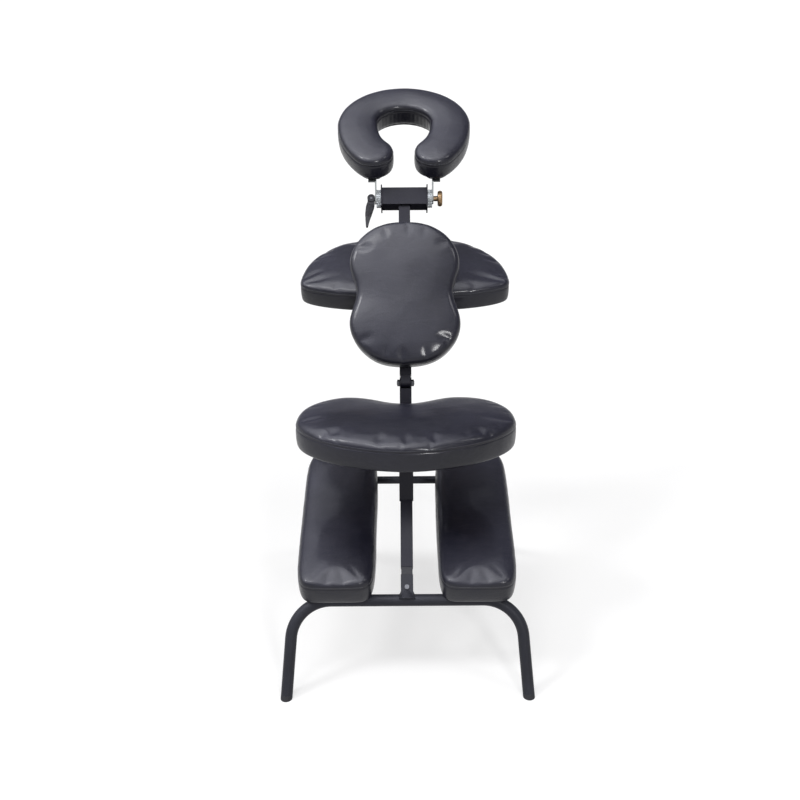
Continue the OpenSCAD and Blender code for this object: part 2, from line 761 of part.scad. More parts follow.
module chest_screws() color(silver) whole() on_mast() at_chest_screws() screw(plate_t);
module chest_cushion() color(leather_black) whole()
    at_chest() cushion(chest_outline, [0, 0], chest_t, chest_crown);
module chest_lock_knob() color(plastic_black) whole() on_mast()
    translate([half_mast + seat_gap, 0, chest_sleeve_at + chest_sleeve_len / 2])
        lock_knob(plate_t + lock_reach);

// Arm pad, its tilting carrier and the bracket on the mast
arm_near_top = hinge_pt + arm_at * [sin(mast_lean), cos(mast_lean)]
    + (half_mast + arm_clear) * [cos(mast_lean), -sin(mast_lean)];
arm_pt = arm_near_top + arm_t * [sin(arm_tilt), -cos(arm_tilt)]
    + arm_rear_depth * [cos(arm_tilt), sin(arm_tilt)];
arm_pivot = hinge_pt + arm_pivot_at * [sin(mast_lean), cos(mast_lean)]
    + arm_pivot_out * [cos(mast_lean), -sin(mast_lean)];
ear_in = half_mast + over + slide_fit;
flange_y = [-arm_rear_depth + 2 * rim, arm_flange_d - arm_rear_depth + 2 * rim];

module arm_hinge_bracket() color(steel_black) whole() on_mast() {
    translate([weld_gap - ear_in, half_mast + fit, arm_pivot_at - arm_bracket_h / 2])
        cube([2 * (ear_in - weld_gap), plate_t, arm_bracket_h]);
    both_sides() difference() {
        translate([ear_in, 0, 0]) rotate([90, 0, 90]) linear_extrude(plate_t) hull() {
            translate([arm_pivot_out, arm_pivot_at]) circle(d = 2.4 * arm_pivot_d, $fn = facets);
            translate([half_mast + fit, arm_pivot_at - arm_bracket_h / 2]) square([plate_t, arm_bracket_h]);
        }
        translate([0, arm_pivot_out, arm_pivot_at]) cyl_x(arm_pivot_d / 2 + fit, floor_cut);
    }
}

module arm_bolt() color(silver) whole() on_mast() translate([0, arm_pivot_out, arm_pivot_at]) {
    cyl_x(arm_pivot_d / 2, 2 * (ear_in + plate_t) + nut_t);
    both_sides() translate([ear_in + plate_t + fit, 0, 0]) rotate([0, 90, 0]) hex_head(bolt_af, head_t);
}

module at_arm() { translate([0, arm_pt[0], arm_pt[1]]) rotate([arm_tilt, 0, 0]) children(); }
module at_arm_screws() {
    at_arm() translate([0, (flange_y[0] + flange_y[1]) / 2, -plate_t])
        four(arm_flange_w - 2 * rim, arm_flange_d - 2 * rim) children();
}

cheek_out = ear_in - slide_fit;
module arm_carrier() color(steel_black) whole() {
    difference() {
        at_arm() translate([-arm_flange_w / 2, flange_y[0], -plate_t])
            cube([arm_flange_w, arm_flange_d, plate_t]);
        at_arm_screws() screw_hole(plate_t);
    }
    difference() {
        both_sides() translate([cheek_out - plate_t, 0, 0]) rotate([90, 0, 90])
            linear_extrude(plate_t) hull() {
                translate(arm_pivot) circle(d = 2.4 * arm_pivot_d, $fn = facets);
                translate(arm_pt) rotate(arm_tilt) translate([flange_y[0], -plate_t - over])
                    square([arm_flange_d - rim, over - weld_gap]);
            }
        translate([0, arm_pivot[0], arm_pivot[1]]) cyl_x(arm_pivot_d / 2 + fit, floor_cut);
    }
}

module arm_board() color(plywood) whole() difference() {
    at_arm() translate([0, 0, fit]) board(arm_outline);
    at_arm_screws() screw_hole(plate_t);
}

module arm_screws() color(silver) whole() at_arm_screws() screw(plate_t);
module arm_cushion() color(leather_black) whole() at_arm() translate([0, 0, fit])
    cushion(arm_outline, [0, arm_depth / 3], arm_t, arm_crown);

// Telescopic head post and the clamp that holds the face cradle
module head_post() color(steel_black) whole() at_head() {
    post_low = mast_len - post_grip - head_run;
    translate([0, 0, post_low]) square_tube(post_side, tube_wall, -channel_side / 2 - post_low);
}

module head_channel() color(steel_black) whole() at_head() difference() {
    cube([channel_len - 2 * plate_t, channel_side, channel_side], center = true);
    cube([channel_len, channel_side - 2 * plate_t, channel_side - 2 * plate_t], center = true);
}

// End plates whose corners flare to points
flare = channel_side / 10;
flare_r = (pow(end_plate_side / 2, 2) + flare * flare) / (2 * flare);
module end_plates() color(steel_black) whole() at_head() both_sides()
    translate([channel_len / 2 - plate_t + fit, 0, 0]) rotate([90, 0, 90]) linear_extrude(plate_t - fit)
        difference() {
            square(end_plate_side, center = true);
            for (a = [0:90:270]) rotate(a) translate([end_plate_side / 2 - flare + flare_r, 0])
                circle(r = flare_r, $fn = 3 * fine);
            circle(d = rod_d + 4 * slide_fit, $fn = fine);
        }

tooth_h = disc_d / 28;
tooth_steps = [disc_d / 2, disc_d / 2, disc_d / 2 - tooth_h, disc_d / 2 - tooth_h];
module toothed_disc(t) {
    rotate([90, 0, 90]) linear_extrude(t) difference() {
        polygon([for (i = [0:len(tooth_steps) * disc_teeth - 1])
            let (a = 90 * i / disc_teeth) tooth_steps[i % len(tooth_steps)] * [cos(a), sin(a)]]);
        circle(d = rod_d + 4 * slide_fit, $fn = fine);
    }
}

disc_start = channel_len / 2 + fit;
arm_start = disc_start + disc_t + seat_gap;
clamp_out = arm_start + disc_t;
module fixed_discs() color(silver) whole() at_head()
    both_sides() translate([disc_start, 0, 0]) toothed_disc(disc_t);

module at_cradle() {
    translate([0, cradle_near[0], cradle_near[1]]) rotate([cradle_tilt, 0, 0]) children();
}
arm_bar_w = disc_d * 0.44;
module cradle_arms() color(silver) whole() both_sides() {
    at_head() translate([arm_start, 0, 0]) toothed_disc(disc_t - plate_t);
    difference() {
        translate([clamp_out - plate_t, 0, 0]) rotate([90, 0, 90]) linear_extrude(plate_t) hull() {
            translate(head_pt) circle(d = arm_bar_w * 1.4, $fn = facets);
            translate(cradle_near) rotate(cradle_tilt) translate([rim / 2, -2 * plate_t])
                square([cradle_tab_len, 2 * plate_t - fit]);
        }
        at_head() cyl_x(rod_d / 2 + 2 * slide_fit, floor_cut);
    }
    difference() {
        at_cradle() translate([clamp_out + weld_gap, rim / 2, -plate_t])
            cube([cradle_tab_w - plate_t, cradle_tab_len, plate_t - fit]);
        at_cradle_screws() screw_hole(plate_t);
    }
}

module at_cradle_screws() {
    for (k = cradle_screw_share) at_cradle()
        translate([clamp_out - plate_t + cradle_tab_w * 0.64, rim / 2 + k * cradle_tab_len, -plate_t])
            children();
}

plate_stations = stations(cradle_inset);
module cradle_plate() color(plastic_black) whole() difference() {
    at_cradle() linear_extrude(cradle_plate_t) polygon(concat(
        [for (s = plate_stations) station_point(s, 1)],
        [for (i = [len(plate_stations) - 1:-1:0]) station_point(plate_stations[i], -1)]
    ));
    both_sides() at_cradle_screws() screw_hole(plate_t, cradle_bite);
}

module cradle_screws() color(silver) whole() both_sides() at_cradle_screws() screw(plate_t, cradle_bite);

module cradle_cushion() color(leather_black) whole()
    at_cradle() translate([0, 0, cradle_plate_t + seat_gap]) face_cushion();

// Clamp rod with the cam lever's pin on its left end
hub_x = -(clamp_out + fit + hub_r);
rod_end = clamp_out + knob_neck_len;
rod_eye = cam_pin_d * 0.7;
module clamp_rod() color(silver) whole() at_head() difference() {
    translate([hub_x - rod_eye, 0, 0]) rotate([0, 90, 0])
        cylinder(d = rod_d, h = rod_end - hub_x + rod_eye, $fn = fine);
    translate([hub_x, 0, 0]) rotate([90, 0, 0])
        cylinder(d = cam_pin_d + 2 * fit, h = hub_w, center = true, $fn = fine);
}

module cam_pin() color(silver) whole() at_head() translate([hub_x, 0, 0]) rotate([90, 0, 0])
    cylinder(d = cam_pin_d, h = hub_w, center = true, $fn = fine);

// Lever: a forked round hub and a flat handle that bends down and out.
// Each station is [out, down, radius] as shares of the handle's length.
lever_shares = [
    [0, 0.12, 0.12], [0.045, 0.3, 0.13], [0.095, 0.53, 0.105], [0.13, 0.76, 0.068], [0.147, 0.96, 0.036]
];
module lever_outline() {
    for (i = [1:len(lever_shares) - 1]) hull() {
        for (k = lever_len * [lever_shares[i - 1], lever_shares[i]])
            translate([-k[0], -k[1]]) circle(r = k[2], $fn = facets);
    }
}

module cam_lever() color(plastic_black) whole() at_head() translate([hub_x, 0, 0]) difference() {
    union() {
        rotate([90, 0, 0]) cylinder(r = hub_r - fit, h = hub_w, center = true, $fn = fine);
        rotate([90, 0, 0]) linear_extrude(lever_t, center = true) lever_outline();
    }
    translate([-2 * hub_r, -rod_d / 2 - 2 * slide_fit, -hub_r * 0.72])
        cube([4 * hub_r, rod_d + 4 * slide_fit, 2 * hub_r]);
    rotate([90, 0, 0]) cylinder(d = cam_pin_d + 2 * fit, h = 2 * hub_w, center = true, $fn = fine);
}

// Turned brass knob: a neck and a round-edged head
knob_edge = knob_t / 3;
module knob_profile() difference() {
    union() {
        square([knob_neck_d / 2, knob_neck_len + knob_t]);
        translate([0, knob_neck_len]) square([knob_d / 2 - knob_edge, knob_t]);
        translate([0, knob_neck_len + knob_edge]) square([knob_d / 2, knob_t - 2 * knob_edge]);
        for (y = [knob_neck_len + knob_edge, knob_neck_len + knob_t - knob_edge])
            translate([knob_d / 2 - knob_edge, y]) circle(r = knob_edge, $fn = facets);
    }
    translate([-over, -over]) square([rod_d / 2 + fit + over, knob_neck_len + over]);
}

module brass_knob() color(brass) whole() at_head() translate([clamp_out + fit, 0, 0])
    rotate([0, 90, 0]) rotate_extrude($fn = 2 * fine) knob_profile();

rear_leg_frame();
spine_stub();
rear_feet();
knee_rails();
crossbar_collars();
leg_stops();
spine_collar();
spine_tube();
spine_screw();
front_strut();
mast_foot();
mast_bolt();
mast_nut();
seat_post();
seat_plate();
seat_board();
seat_cushion();
seat_screws();
knee_board_left();
knee_board_right();
knee_cushion_left();
knee_cushion_right();
knee_screws();
front_leg_frame();
front_feet();
mast_tube();
arm_hinge_bracket();
arm_bolt();
post_screw();
chest_sleeve();
chest_bar();
chest_board();
chest_cushion();
chest_screws();
chest_lock_knob();
arm_carrier();
arm_board();
arm_cushion();
arm_screws();
head_post();
head_channel();
end_plates();
fixed_discs();
clamp_rod();
cam_pin();
cradle_arms();
cradle_plate();
cradle_cushion();
cradle_screws();
cam_lever();
brass_knob();
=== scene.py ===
import json
import math

import bpy
import numpy as np
from mathutils import Matrix, Vector, noise
from mathutils.bvhtree import BVHTree


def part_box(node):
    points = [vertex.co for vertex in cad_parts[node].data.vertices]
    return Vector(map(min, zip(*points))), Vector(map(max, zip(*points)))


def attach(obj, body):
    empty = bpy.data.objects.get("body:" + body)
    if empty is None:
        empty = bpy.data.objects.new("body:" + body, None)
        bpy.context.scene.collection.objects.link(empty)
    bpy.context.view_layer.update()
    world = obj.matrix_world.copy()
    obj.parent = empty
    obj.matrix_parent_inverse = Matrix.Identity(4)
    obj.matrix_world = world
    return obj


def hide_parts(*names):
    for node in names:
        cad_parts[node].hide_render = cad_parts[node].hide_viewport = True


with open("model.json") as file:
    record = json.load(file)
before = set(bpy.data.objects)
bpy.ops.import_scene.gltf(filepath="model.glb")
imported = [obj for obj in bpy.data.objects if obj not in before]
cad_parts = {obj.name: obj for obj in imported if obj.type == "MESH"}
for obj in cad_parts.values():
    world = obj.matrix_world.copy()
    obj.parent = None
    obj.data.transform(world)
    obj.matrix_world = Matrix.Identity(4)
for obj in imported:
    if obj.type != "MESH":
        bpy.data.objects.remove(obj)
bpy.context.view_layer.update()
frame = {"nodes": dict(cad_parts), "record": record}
nodes = frame["nodes"]
record = frame["record"]
scene = bpy.context.scene
print("frame loaded:", len(nodes), "nodes")

# Lengths are metres and angles are degrees, in the frame's own axes:
# +X to the sitter's right, +Y the way the sitter faces, +Z up.
lean = {"knees": 13.8, "mast": 35.0, "armPad": 15.0, "facePad": 27.0}


# Node helpers

def feed(tree, node, inputs):
    for key, value in inputs.items():
        if isinstance(value, bpy.types.NodeSocket):
            tree.links.new(value, node.inputs[key])
        else:
            node.inputs[key].default_value = value


def add(tree, kind, inputs=None, **settings):
    node = tree.nodes.new(kind)
    for key, value in settings.items():
        setattr(node, key, value)
    feed(tree, node, inputs or {})
    return node


def maths(tree, operation, first, second=0.0, clamp=False):
    return add(tree, "ShaderNodeMath", {0: first, 1: second}, operation=operation, use_clamp=clamp).outputs[0]


def remap(tree, value, low, high, newLow=0.0, newHigh=1.0):
    inputs = {"Value": value, "From Min": low, "From Max": high, "To Min": newLow, "To Max": newHigh}
    return add(tree, "ShaderNodeMapRange", inputs).outputs["Result"]


def blendColours(tree, share, first, second):
    ends = [value if isinstance(value, bpy.types.NodeSocket) else (*value, 1.0) for value in (first, second)]
    return add(tree, "ShaderNodeMix", {0: share, 6: ends[0], 7: ends[1]}, data_type="RGBA").outputs[2]


def newGroup(name, inputs, outputs, kind="ShaderNodeTree"):
    group = bpy.data.node_groups.new(name, kind)
    for way, sockets in (("INPUT", inputs), ("OUTPUT", outputs)):
        for label, socketKind, value in sockets:
            socket = group.interface.new_socket(label, in_out=way, socket_type="NodeSocket" + socketKind)
            if value is not None:
                socket.default_value = value
    return group, group.nodes.new("NodeGroupInput").outputs, group.nodes.new("NodeGroupOutput")


def place(tree, group, inputs):
    return add(tree, "ShaderNodeGroup", inputs, node_tree=group).outputs


def freshTree(owner, outputKind):
    owner.use_nodes = True
    tree = owner.node_tree
    tree.nodes.clear()
    return tree, tree.nodes.new(outputKind)


# Effects that several finishes share, one group each

# scales count noise cells to the metre, and drift is the share of a noise that moves the place, about 1 mm
grainLook = {
    "drift": 0.0012, "driftScale": 220.0, "pebbleEdge": 0.22, "pebbleShare": 0.75, "fineScale": 2600.0,
    "foldStretch": (0.45, 1.0, 1.0), "foldScale": 34.0, "creaseWidth": 0.045, "patchScale": 7.0,
}


def makeGrainGroup(look):
    group, given, result = newGroup(
        "leatherGrain",
        [("Place", "Vector", None), ("Pebbles", "Float", 900.0), ("Crease", "Float", 0.3)],
        [(label, "Float", None) for label in ("Height", "Patch", "Creases", "Folds")],
    )
    where = given["Place"]
    drift = add(group, "ShaderNodeTexNoise", {"Vector": where, "Scale": look["driftScale"], "Detail": 2.0})
    shifted = add(
        group, "ShaderNodeMix", {0: look["drift"], 4: where, 5: drift.outputs["Color"]}, data_type="VECTOR"
    ).outputs[1]
    cells = add(
        group, "ShaderNodeTexVoronoi", {"Vector": shifted, "Scale": given["Pebbles"]}, feature="DISTANCE_TO_EDGE"
    )
    pebble = remap(group, cells.outputs["Distance"], 0.0, look["pebbleEdge"])
    fine = add(group, "ShaderNodeTexNoise", {"Vector": where, "Scale": look["fineScale"], "Detail": 2.0})
    stretched = add(group, "ShaderNodeMapping", {"Vector": where, "Scale": look["foldStretch"]})
    folds = add(group, "ShaderNodeTexNoise", {
        "Vector": stretched.outputs[0], "Scale": look["foldScale"], "Detail": 4.0, "Roughness": 0.6,
        "Distortion": 0.6,
    })
    ridge = maths(group, "ABSOLUTE", maths(group, "SUBTRACT", folds.outputs["Fac"], 0.5))
    creases = remap(group, ridge, 0.0, look["creaseWidth"], 1.0, 0.0)
    broad = add(group, "ShaderNodeTexNoise", {"Vector": where, "Scale": look["patchScale"], "Detail": 3.0})
    coarse = maths(group, "MULTIPLY", pebble, look["pebbleShare"])
    slight = maths(group, "MULTIPLY", fine.outputs["Fac"], 1.0 - look["pebbleShare"])
    grain = maths(group, "ADD", coarse, slight)
    height = maths(group, "SUBTRACT", grain, maths(group, "MULTIPLY", creases, given["Crease"]))
    feed(group, result, {
        "Height": height, "Patch": broad.outputs["Fac"], "Creases": creases, "Folds": folds.outputs["Fac"],
    })
    return group


# an edge shows where the rounded normal turns off the true one, between these two cosines
edgeLook = {"flat": 0.99, "sharp": 0.8, "spotScale": 120.0, "spotLow": 0.5, "spotHigh": 0.68}


def makeEdgeGroup(look):
    group, given, result = newGroup(
        "edgeWear",
        [("Place", "Vector", None), ("Radius", "Float", 0.001), ("Amount", "Float", 0.5)],
        [("Mask", "Float", None), ("Normal", "Vector", None)],
    )
    rounded = add(group, "ShaderNodeBevel", {"Radius": given["Radius"]}, samples=4)
    flat = add(group, "ShaderNodeNewGeometry")
    facing = add(
        group, "ShaderNodeVectorMath", {0: rounded.outputs["Normal"], 1: flat.outputs["True Normal"]},
        operation="DOT_PRODUCT",
    )
    edge = remap(group, facing.outputs["Value"], look["flat"], look["sharp"])
    spots = add(group, "ShaderNodeTexNoise", {
        "Vector": given["Place"], "Scale": look["spotScale"], "Detail": 4.0,
    })
    broken = remap(group, spots.outputs["Fac"], look["spotLow"], look["spotHigh"])
    mask = maths(group, "MULTIPLY", maths(group, "MULTIPLY", edge, broken), given["Amount"], True)
    feed(group, result, {"Mask": mask, "Normal": rounded.outputs["Normal"]})
    return group


surfaceLook = {"speckScale": 420.0, "speckLow": 0.62, "speckHigh": 0.75}


def makeSurfaceGroup(look):
    group, given, result = newGroup(
        "surfaceVariation",
        [("Place", "Vector", None), ("Fine", "Float", 900.0), ("Broad", "Float", 12.0)],
        [(label, "Float", None) for label in ("Height", "Patch", "Dust")],
    )
    where = given["Place"]
    peel = add(group, "ShaderNodeTexNoise", {"Vector": where, "Scale": given["Fine"], "Detail": 2.0})
    broad = add(group, "ShaderNodeTexNoise", {"Vector": where, "Scale": given["Broad"], "Detail": 4.0})
    specks = add(group, "ShaderNodeTexNoise", {"Vector": where, "Scale": look["speckScale"], "Detail": 3.0})
    speckled = remap(group, specks.outputs["Fac"], look["speckLow"], look["speckHigh"])
    dust = maths(group, "MULTIPLY", speckled, broad.outputs["Fac"])
    feed(group, result, {"Height": peel.outputs["Fac"], "Patch": broad.outputs["Fac"], "Dust": dust})
    return group


grainGroup = makeGrainGroup(grainLook)
edgeGroup = makeEdgeGroup(edgeLook)
surfaceGroup = makeSurfaceGroup(surfaceLook)


# Finishes

def startMaterial(name):
    material = bpy.data.materials.new(name)
    tree, output = freshTree(material, "ShaderNodeOutputMaterial")
    shader = tree.nodes.new("ShaderNodeBsdfPrincipled")
    tree.links.new(shader.outputs["BSDF"], output.inputs["Surface"])
    where = tree.nodes.new("ShaderNodeTexCoord").outputs["Object"]
    return material, tree, shader, where


# the parts of a patch noise's range that change the tone and the roughness
toneRange = (0.35, 0.65)
roughRange = (0.3, 0.7)

vinyl = {
    "dark": (0.0058, 0.0058, 0.0112), "light": (0.0122, 0.0122, 0.0205), "worn": (0.035, 0.035, 0.046),
    "pebbles": 850.0, "crease": 0.5, "rubbed": 0.12, "grainDepth": 0.0002, "grainBump": 0.6,
    "foldDepth": 0.0016, "foldBump": 0.5, "smooth": 0.3, "matte": 0.46, "specular": 0.22, "coat": 0.3,
    "coatRoughness": 0.17,
}


def makeVinyl(name, look):
    material, tree, shader, where = startMaterial(name)
    grain = place(tree, grainGroup, {"Place": where, "Pebbles": look["pebbles"], "Crease": look["crease"]})
    tone = remap(tree, grain["Patch"], *toneRange)
    colour = blendColours(tree, tone, look["dark"], look["light"])
    rubbed = maths(tree, "MULTIPLY", grain["Creases"], look["rubbed"])
    colour = blendColours(tree, rubbed, colour, look["worn"])
    rough = remap(tree, grain["Patch"], *roughRange, look["smooth"], look["matte"])
    folds = add(tree, "ShaderNodeBump", {
        "Height": grain["Folds"], "Distance": look["foldDepth"], "Strength": look["foldBump"],
    })
    bump = add(tree, "ShaderNodeBump", {
        "Height": grain["Height"], "Distance": look["grainDepth"], "Strength": look["grainBump"],
        "Normal": folds.outputs["Normal"],
    })
    feed(tree, shader, {
        "Base Color": colour, "Roughness": rough, "Normal": bump.outputs["Normal"],
        "Specular IOR Level": look["specular"], "Coat Weight": look["coat"],
        "Coat Roughness": look["coatRoughness"],
    })
    return material


finishes = {
    "grey_leg_paint": {
        "base": (0.03, 0.031, 0.039), "worn": (0.14, 0.14, 0.15), "smooth": 0.38, "matte": 0.54, "metal": 0.0,
        "specular": 0.16, "depth": 0.00006, "fine": 700.0, "radius": 0.0009, "wear": 0.55,
    },
    "black_frame_paint": {
        "base": (0.0085, 0.0082, 0.0145), "worn": (0.12, 0.12, 0.13), "smooth": 0.32, "matte": 0.48,
        "metal": 0.0, "specular": 0.2, "depth": 0.00006, "fine": 700.0, "radius": 0.0009, "wear": 0.45,
    },
    "foot_rubber": {
        "base": (0.03, 0.03, 0.034), "worn": (0.09, 0.09, 0.09), "smooth": 0.6, "matte": 0.8, "metal": 0.0,
        "specular": 0.3, "depth": 0.0001, "fine": 500.0, "radius": 0.0012, "wear": 0.6,
    },
    "zinc_fastener": {
        "base": (0.1, 0.102, 0.107), "worn": (0.22, 0.22, 0.23), "smooth": 0.3, "matte": 0.46, "metal": 1.0,
        "specular": 0.5, "depth": 0.00003, "fine": 1400.0, "radius": 0.0004, "wear": 0.5,
    },
    "cast_aluminium": {
        "base": (0.42, 0.44, 0.44), "worn": (0.62, 0.63, 0.63), "smooth": 0.32, "matte": 0.5, "metal": 1.0,
        "specular": 0.5, "depth": 0.00005, "fine": 1100.0, "radius": 0.0004, "wear": 0.6,
    },
    "black_plastic": {
        "base": (0.0085, 0.0085, 0.0115), "worn": (0.045, 0.045, 0.05), "smooth": 0.36, "matte": 0.52,
        "metal": 0.0, "specular": 0.3, "depth": 0.00005, "fine": 1300.0, "radius": 0.0008, "wear": 0.6,
    },
    "brass": {
        "base": (0.3, 0.2, 0.11), "worn": (0.5, 0.37, 0.22), "smooth": 0.3, "matte": 0.48, "metal": 1.0,
        "specular": 0.5, "depth": 0.00004, "fine": 900.0, "radius": 0.0006, "wear": 0.7,
    },
}


finishShared = {"broad": 14.0, "deeper": 0.82, "dust": 0.25, "bump": 0.5}


def makeFinish(name, look):
    material, tree, shader, where = startMaterial(name)
    skin = place(tree, surfaceGroup, {"Place": where, "Fine": look["fine"], "Broad": finishShared["broad"]})
    edge = place(tree, edgeGroup, {"Place": where, "Radius": look["radius"], "Amount": look["wear"]})
    deeper = tuple(finishShared["deeper"] * c for c in look["base"])
    colour = blendColours(tree, remap(tree, skin["Patch"], *toneRange), deeper, look["base"])
    dusty = maths(tree, "MULTIPLY", skin["Dust"], finishShared["dust"])
    colour = blendColours(tree, dusty, colour, look["worn"])
    colour = blendColours(tree, edge["Mask"], colour, look["worn"])
    rough = remap(tree, skin["Patch"], *roughRange, look["smooth"], look["matte"])
    bump = add(tree, "ShaderNodeBump", {
        "Height": skin["Height"], "Distance": look["depth"], "Strength": finishShared["bump"],
        "Normal": edge["Normal"],
    })
    feed(tree, shader, {
        "Base Color": colour, "Roughness": rough, "Normal": bump.outputs["Normal"],
        "Metallic": look["metal"], "Specular IOR Level": look["specular"],
    })
    return material


plywoodLook = {
    "pale": (0.5, 0.35, 0.2), "dark": (0.33, 0.2, 0.1), "ply": 0.0015, "stretch": (14.0, 1.2, 60.0),
    "grain": 6.0, "shade": 0.6, "depth": 0.0002, "bump": 0.5, "roughness": 0.62,
}


def makePlywood(name, look):
    material, tree, shader, where = startMaterial(name)
    stretched = add(tree, "ShaderNodeMapping", {"Vector": where, "Scale": look["stretch"]})
    grain = add(tree, "ShaderNodeTexNoise", {
        "Vector": stretched.outputs[0], "Scale": look["grain"], "Detail": 6.0, "Roughness": 0.65,
        "Distortion": 0.8,
    })
    plies = add(
        tree, "ShaderNodeTexWave", {"Vector": where, "Scale": 1.0 / look["ply"] / 20.0, "Distortion": 0.4},
        bands_direction="Z",
    )
    streaks = remap(tree, grain.outputs["Fac"], *toneRange)
    bands = remap(tree, plies.outputs["Fac"], 0.0, 1.0, look["shade"], 1.0)
    colour = blendColours(tree, maths(tree, "MULTIPLY", streaks, bands), look["dark"], look["pale"])
    bump = add(tree, "ShaderNodeBump", {
        "Height": grain.outputs["Fac"], "Distance": look["depth"], "Strength": look["bump"],
    })
    feed(tree, shader, {
        "Base Color": colour, "Normal": bump.outputs["Normal"], "Roughness": look["roughness"],
    })
    return material


threadLook = {
    "dark": (0.03, 0.03, 0.038), "light": (0.085, 0.085, 0.1), "twist": 2600.0, "depth": 0.0001, "bump": 0.6,
    "roughness": 0.55,
}


def makeThread(name, look):
    material, tree, shader, where = startMaterial(name)
    strands = add(tree, "ShaderNodeTexNoise", {"Vector": where, "Scale": look["twist"], "Detail": 2.0})
    colour = blendColours(tree, remap(tree, strands.outputs["Fac"], *toneRange), look["dark"], look["light"])
    bump = add(tree, "ShaderNodeBump", {
        "Height": strands.outputs["Fac"], "Distance": look["depth"], "Strength": look["bump"],
    })
    feed(tree, shader, {
        "Base Color": colour, "Normal": bump.outputs["Normal"], "Roughness": look["roughness"],
    })
    return material


materials = {name: makeFinish(name, look) for name, look in finishes.items()}
materials["black_leatherette"] = makeVinyl("black_leatherette", vinyl)
materials["plywood"] = makePlywood("plywood", plywoodLook)
materials["seam_thread"] = makeThread("seam_thread", threadLook)

for part in record["subparts"]:
    cadNode = nodes[part["node"]]
    if not cadNode.material_slots:
        cadNode.data.materials.append(None)
    for holder in cadNode.material_slots:
        holder.material = materials[part["material_slot"]]
print("finishes made:", len(materials))


# Cushion outlines, each a closed loop of points that runs counter-clockwise from its near side

# points round a lobe, along the horseshoe and round its ends, and how many of an end's points go to a long
# row, so that the grid's corners stay open
loopSteps = {"lobe": 900, "turns": 300, "cap": 60, "corner": 16}


def evenly(points, steps):
    points = np.asarray(points, float)
    run = np.concatenate([[0.0], np.cumsum(np.linalg.norm(np.diff(points, axis=0), axis=1))])
    want = np.linspace(0.0, run[-1], steps + 1)
    return np.stack([np.interp(want, run, points[:, k]) for k in range(points.shape[1])], axis=1)


def power(value, exponent):
    return math.copysign(abs(value) ** exponent, value)


def bulge(value, width):
    return math.exp(-((value / width) ** 2))


def lobe(pad, width):
    points = []
    for i in range(loopSteps["lobe"] + 1):
        angle = math.radians(270.0 + 360.0 * i / loopSteps["lobe"])
        end = "front" if math.sin(angle) > 0 else "rear"
        e = 2.0 / pad[end + "Power"]
        points.append((width / 2 * power(math.cos(angle), e), pad[end] * power(math.sin(angle), e)))
    return points


def plainOutline(pad):
    return lobe(pad, pad["width"])


def seatOutline(pad):
    return [
        (x, y - (pad["notch"] * bulge(x, pad["notchWidth"]) if y > 0 else 0.0))
        for x, y in lobe(pad, pad["width"])
    ]


def chestOutline(pad):
    lobeWidth = pad["width"] / pad["lobeShare"]
    draw = 1.0 - pad["waist"] / lobeWidth
    reach = (pad["front"] + pad["rear"]) / 6
    return [(x * (1.0 - draw * bulge(y, reach)), y) for x, y in lobe(pad, lobeWidth)]


def fromMiddle(points, pad):
    # one side after another, so that the near side's middle falls in the middle of the first row
    count = 2 * (pad["across"] + pad["deep"])
    loop = evenly(points, count)[:-1]
    return np.roll(loop, pad["across"] // 2, axis=0)


def horseshoe(pad):
    lobeWidth = (pad["width"] - pad["opening"]) / 2
    half = (pad["width"] - lobeWidth) / 2
    middle = pad["length"] * pad["middleShare"]
    far = pad["length"] - lobeWidth * pad["crownShare"] / 2 - middle
    endAngle = math.acos((pad["neck"] + lobeWidth) / 2 / half)
    near = (middle - lobeWidth / 2) / math.sin(endAngle)

    def depth(angle):
        return far if math.sin(angle) > 0 else near

    def along(angle):
        return np.array([half * math.cos(angle), middle + depth(angle) * math.sin(angle)])

    def heading(angle):
        d = np.array([-half * math.sin(angle), depth(angle) * math.cos(angle)])
        return d / np.linalg.norm(d)

    def edge(angle, side):
        d = heading(angle)
        reach = lobeWidth / 2 * (1.0 - (1.0 - pad["crownShare"]) * max(0.0, math.sin(angle)))
        return along(angle) + side * reach * np.array([d[1], -d[0]])

    first, last = -endAngle, math.pi + endAngle
    steps = loopSteps["turns"]
    turns = [first + (last - first) * i / steps for i in range(steps + 1)]
    outer = [edge(a, 1) for a in turns]
    inner = [edge(a, -1) for a in reversed(turns)]

    def cap(angle, outward):
        d = heading(angle) * outward
        side = np.array([d[1], -d[0]]) * (1 if outward > 0 else -1)
        reach = lobeWidth / 2
        return [
            along(angle) + reach * (side * math.cos(t) * outward + d * math.sin(t))
            for t in [math.pi * i / loopSteps["cap"] for i in range(loopSteps["cap"] + 1)]
        ]

    return outer, cap(last, 1), inner, cap(first, -1)


def facePadLoop(pad):
    outer, leftCap, inner, rightCap = horseshoe(pad)
    corner = loopSteps["corner"]
    long1 = rightCap[-corner:] + outer[1:] + leftCap[1:corner]
    short1 = leftCap[corner - 1:-corner + 1]
    long2 = leftCap[-corner:] + inner[1:] + rightCap[1:corner]
    short2 = rightCap[corner - 1:-corner + 1]
    rows = [(long1, pad["across"]), (short1, pad["deep"]), (long2, pad["across"]), (short2, pad["deep"])]
    return np.concatenate([evenly(points, steps)[:-1] for points, steps in rows])


# Cushion meshes: a grid over the top, rings down the sides, a turned-in underside

def outward(loop):
    d = np.roll(loop, -1, axis=0) - np.roll(loop, 1, axis=0)
    n = np.stack([d[:, 1], -d[:, 0]], axis=1)
    return n / np.linalg.norm(n, axis=1)[:, None]


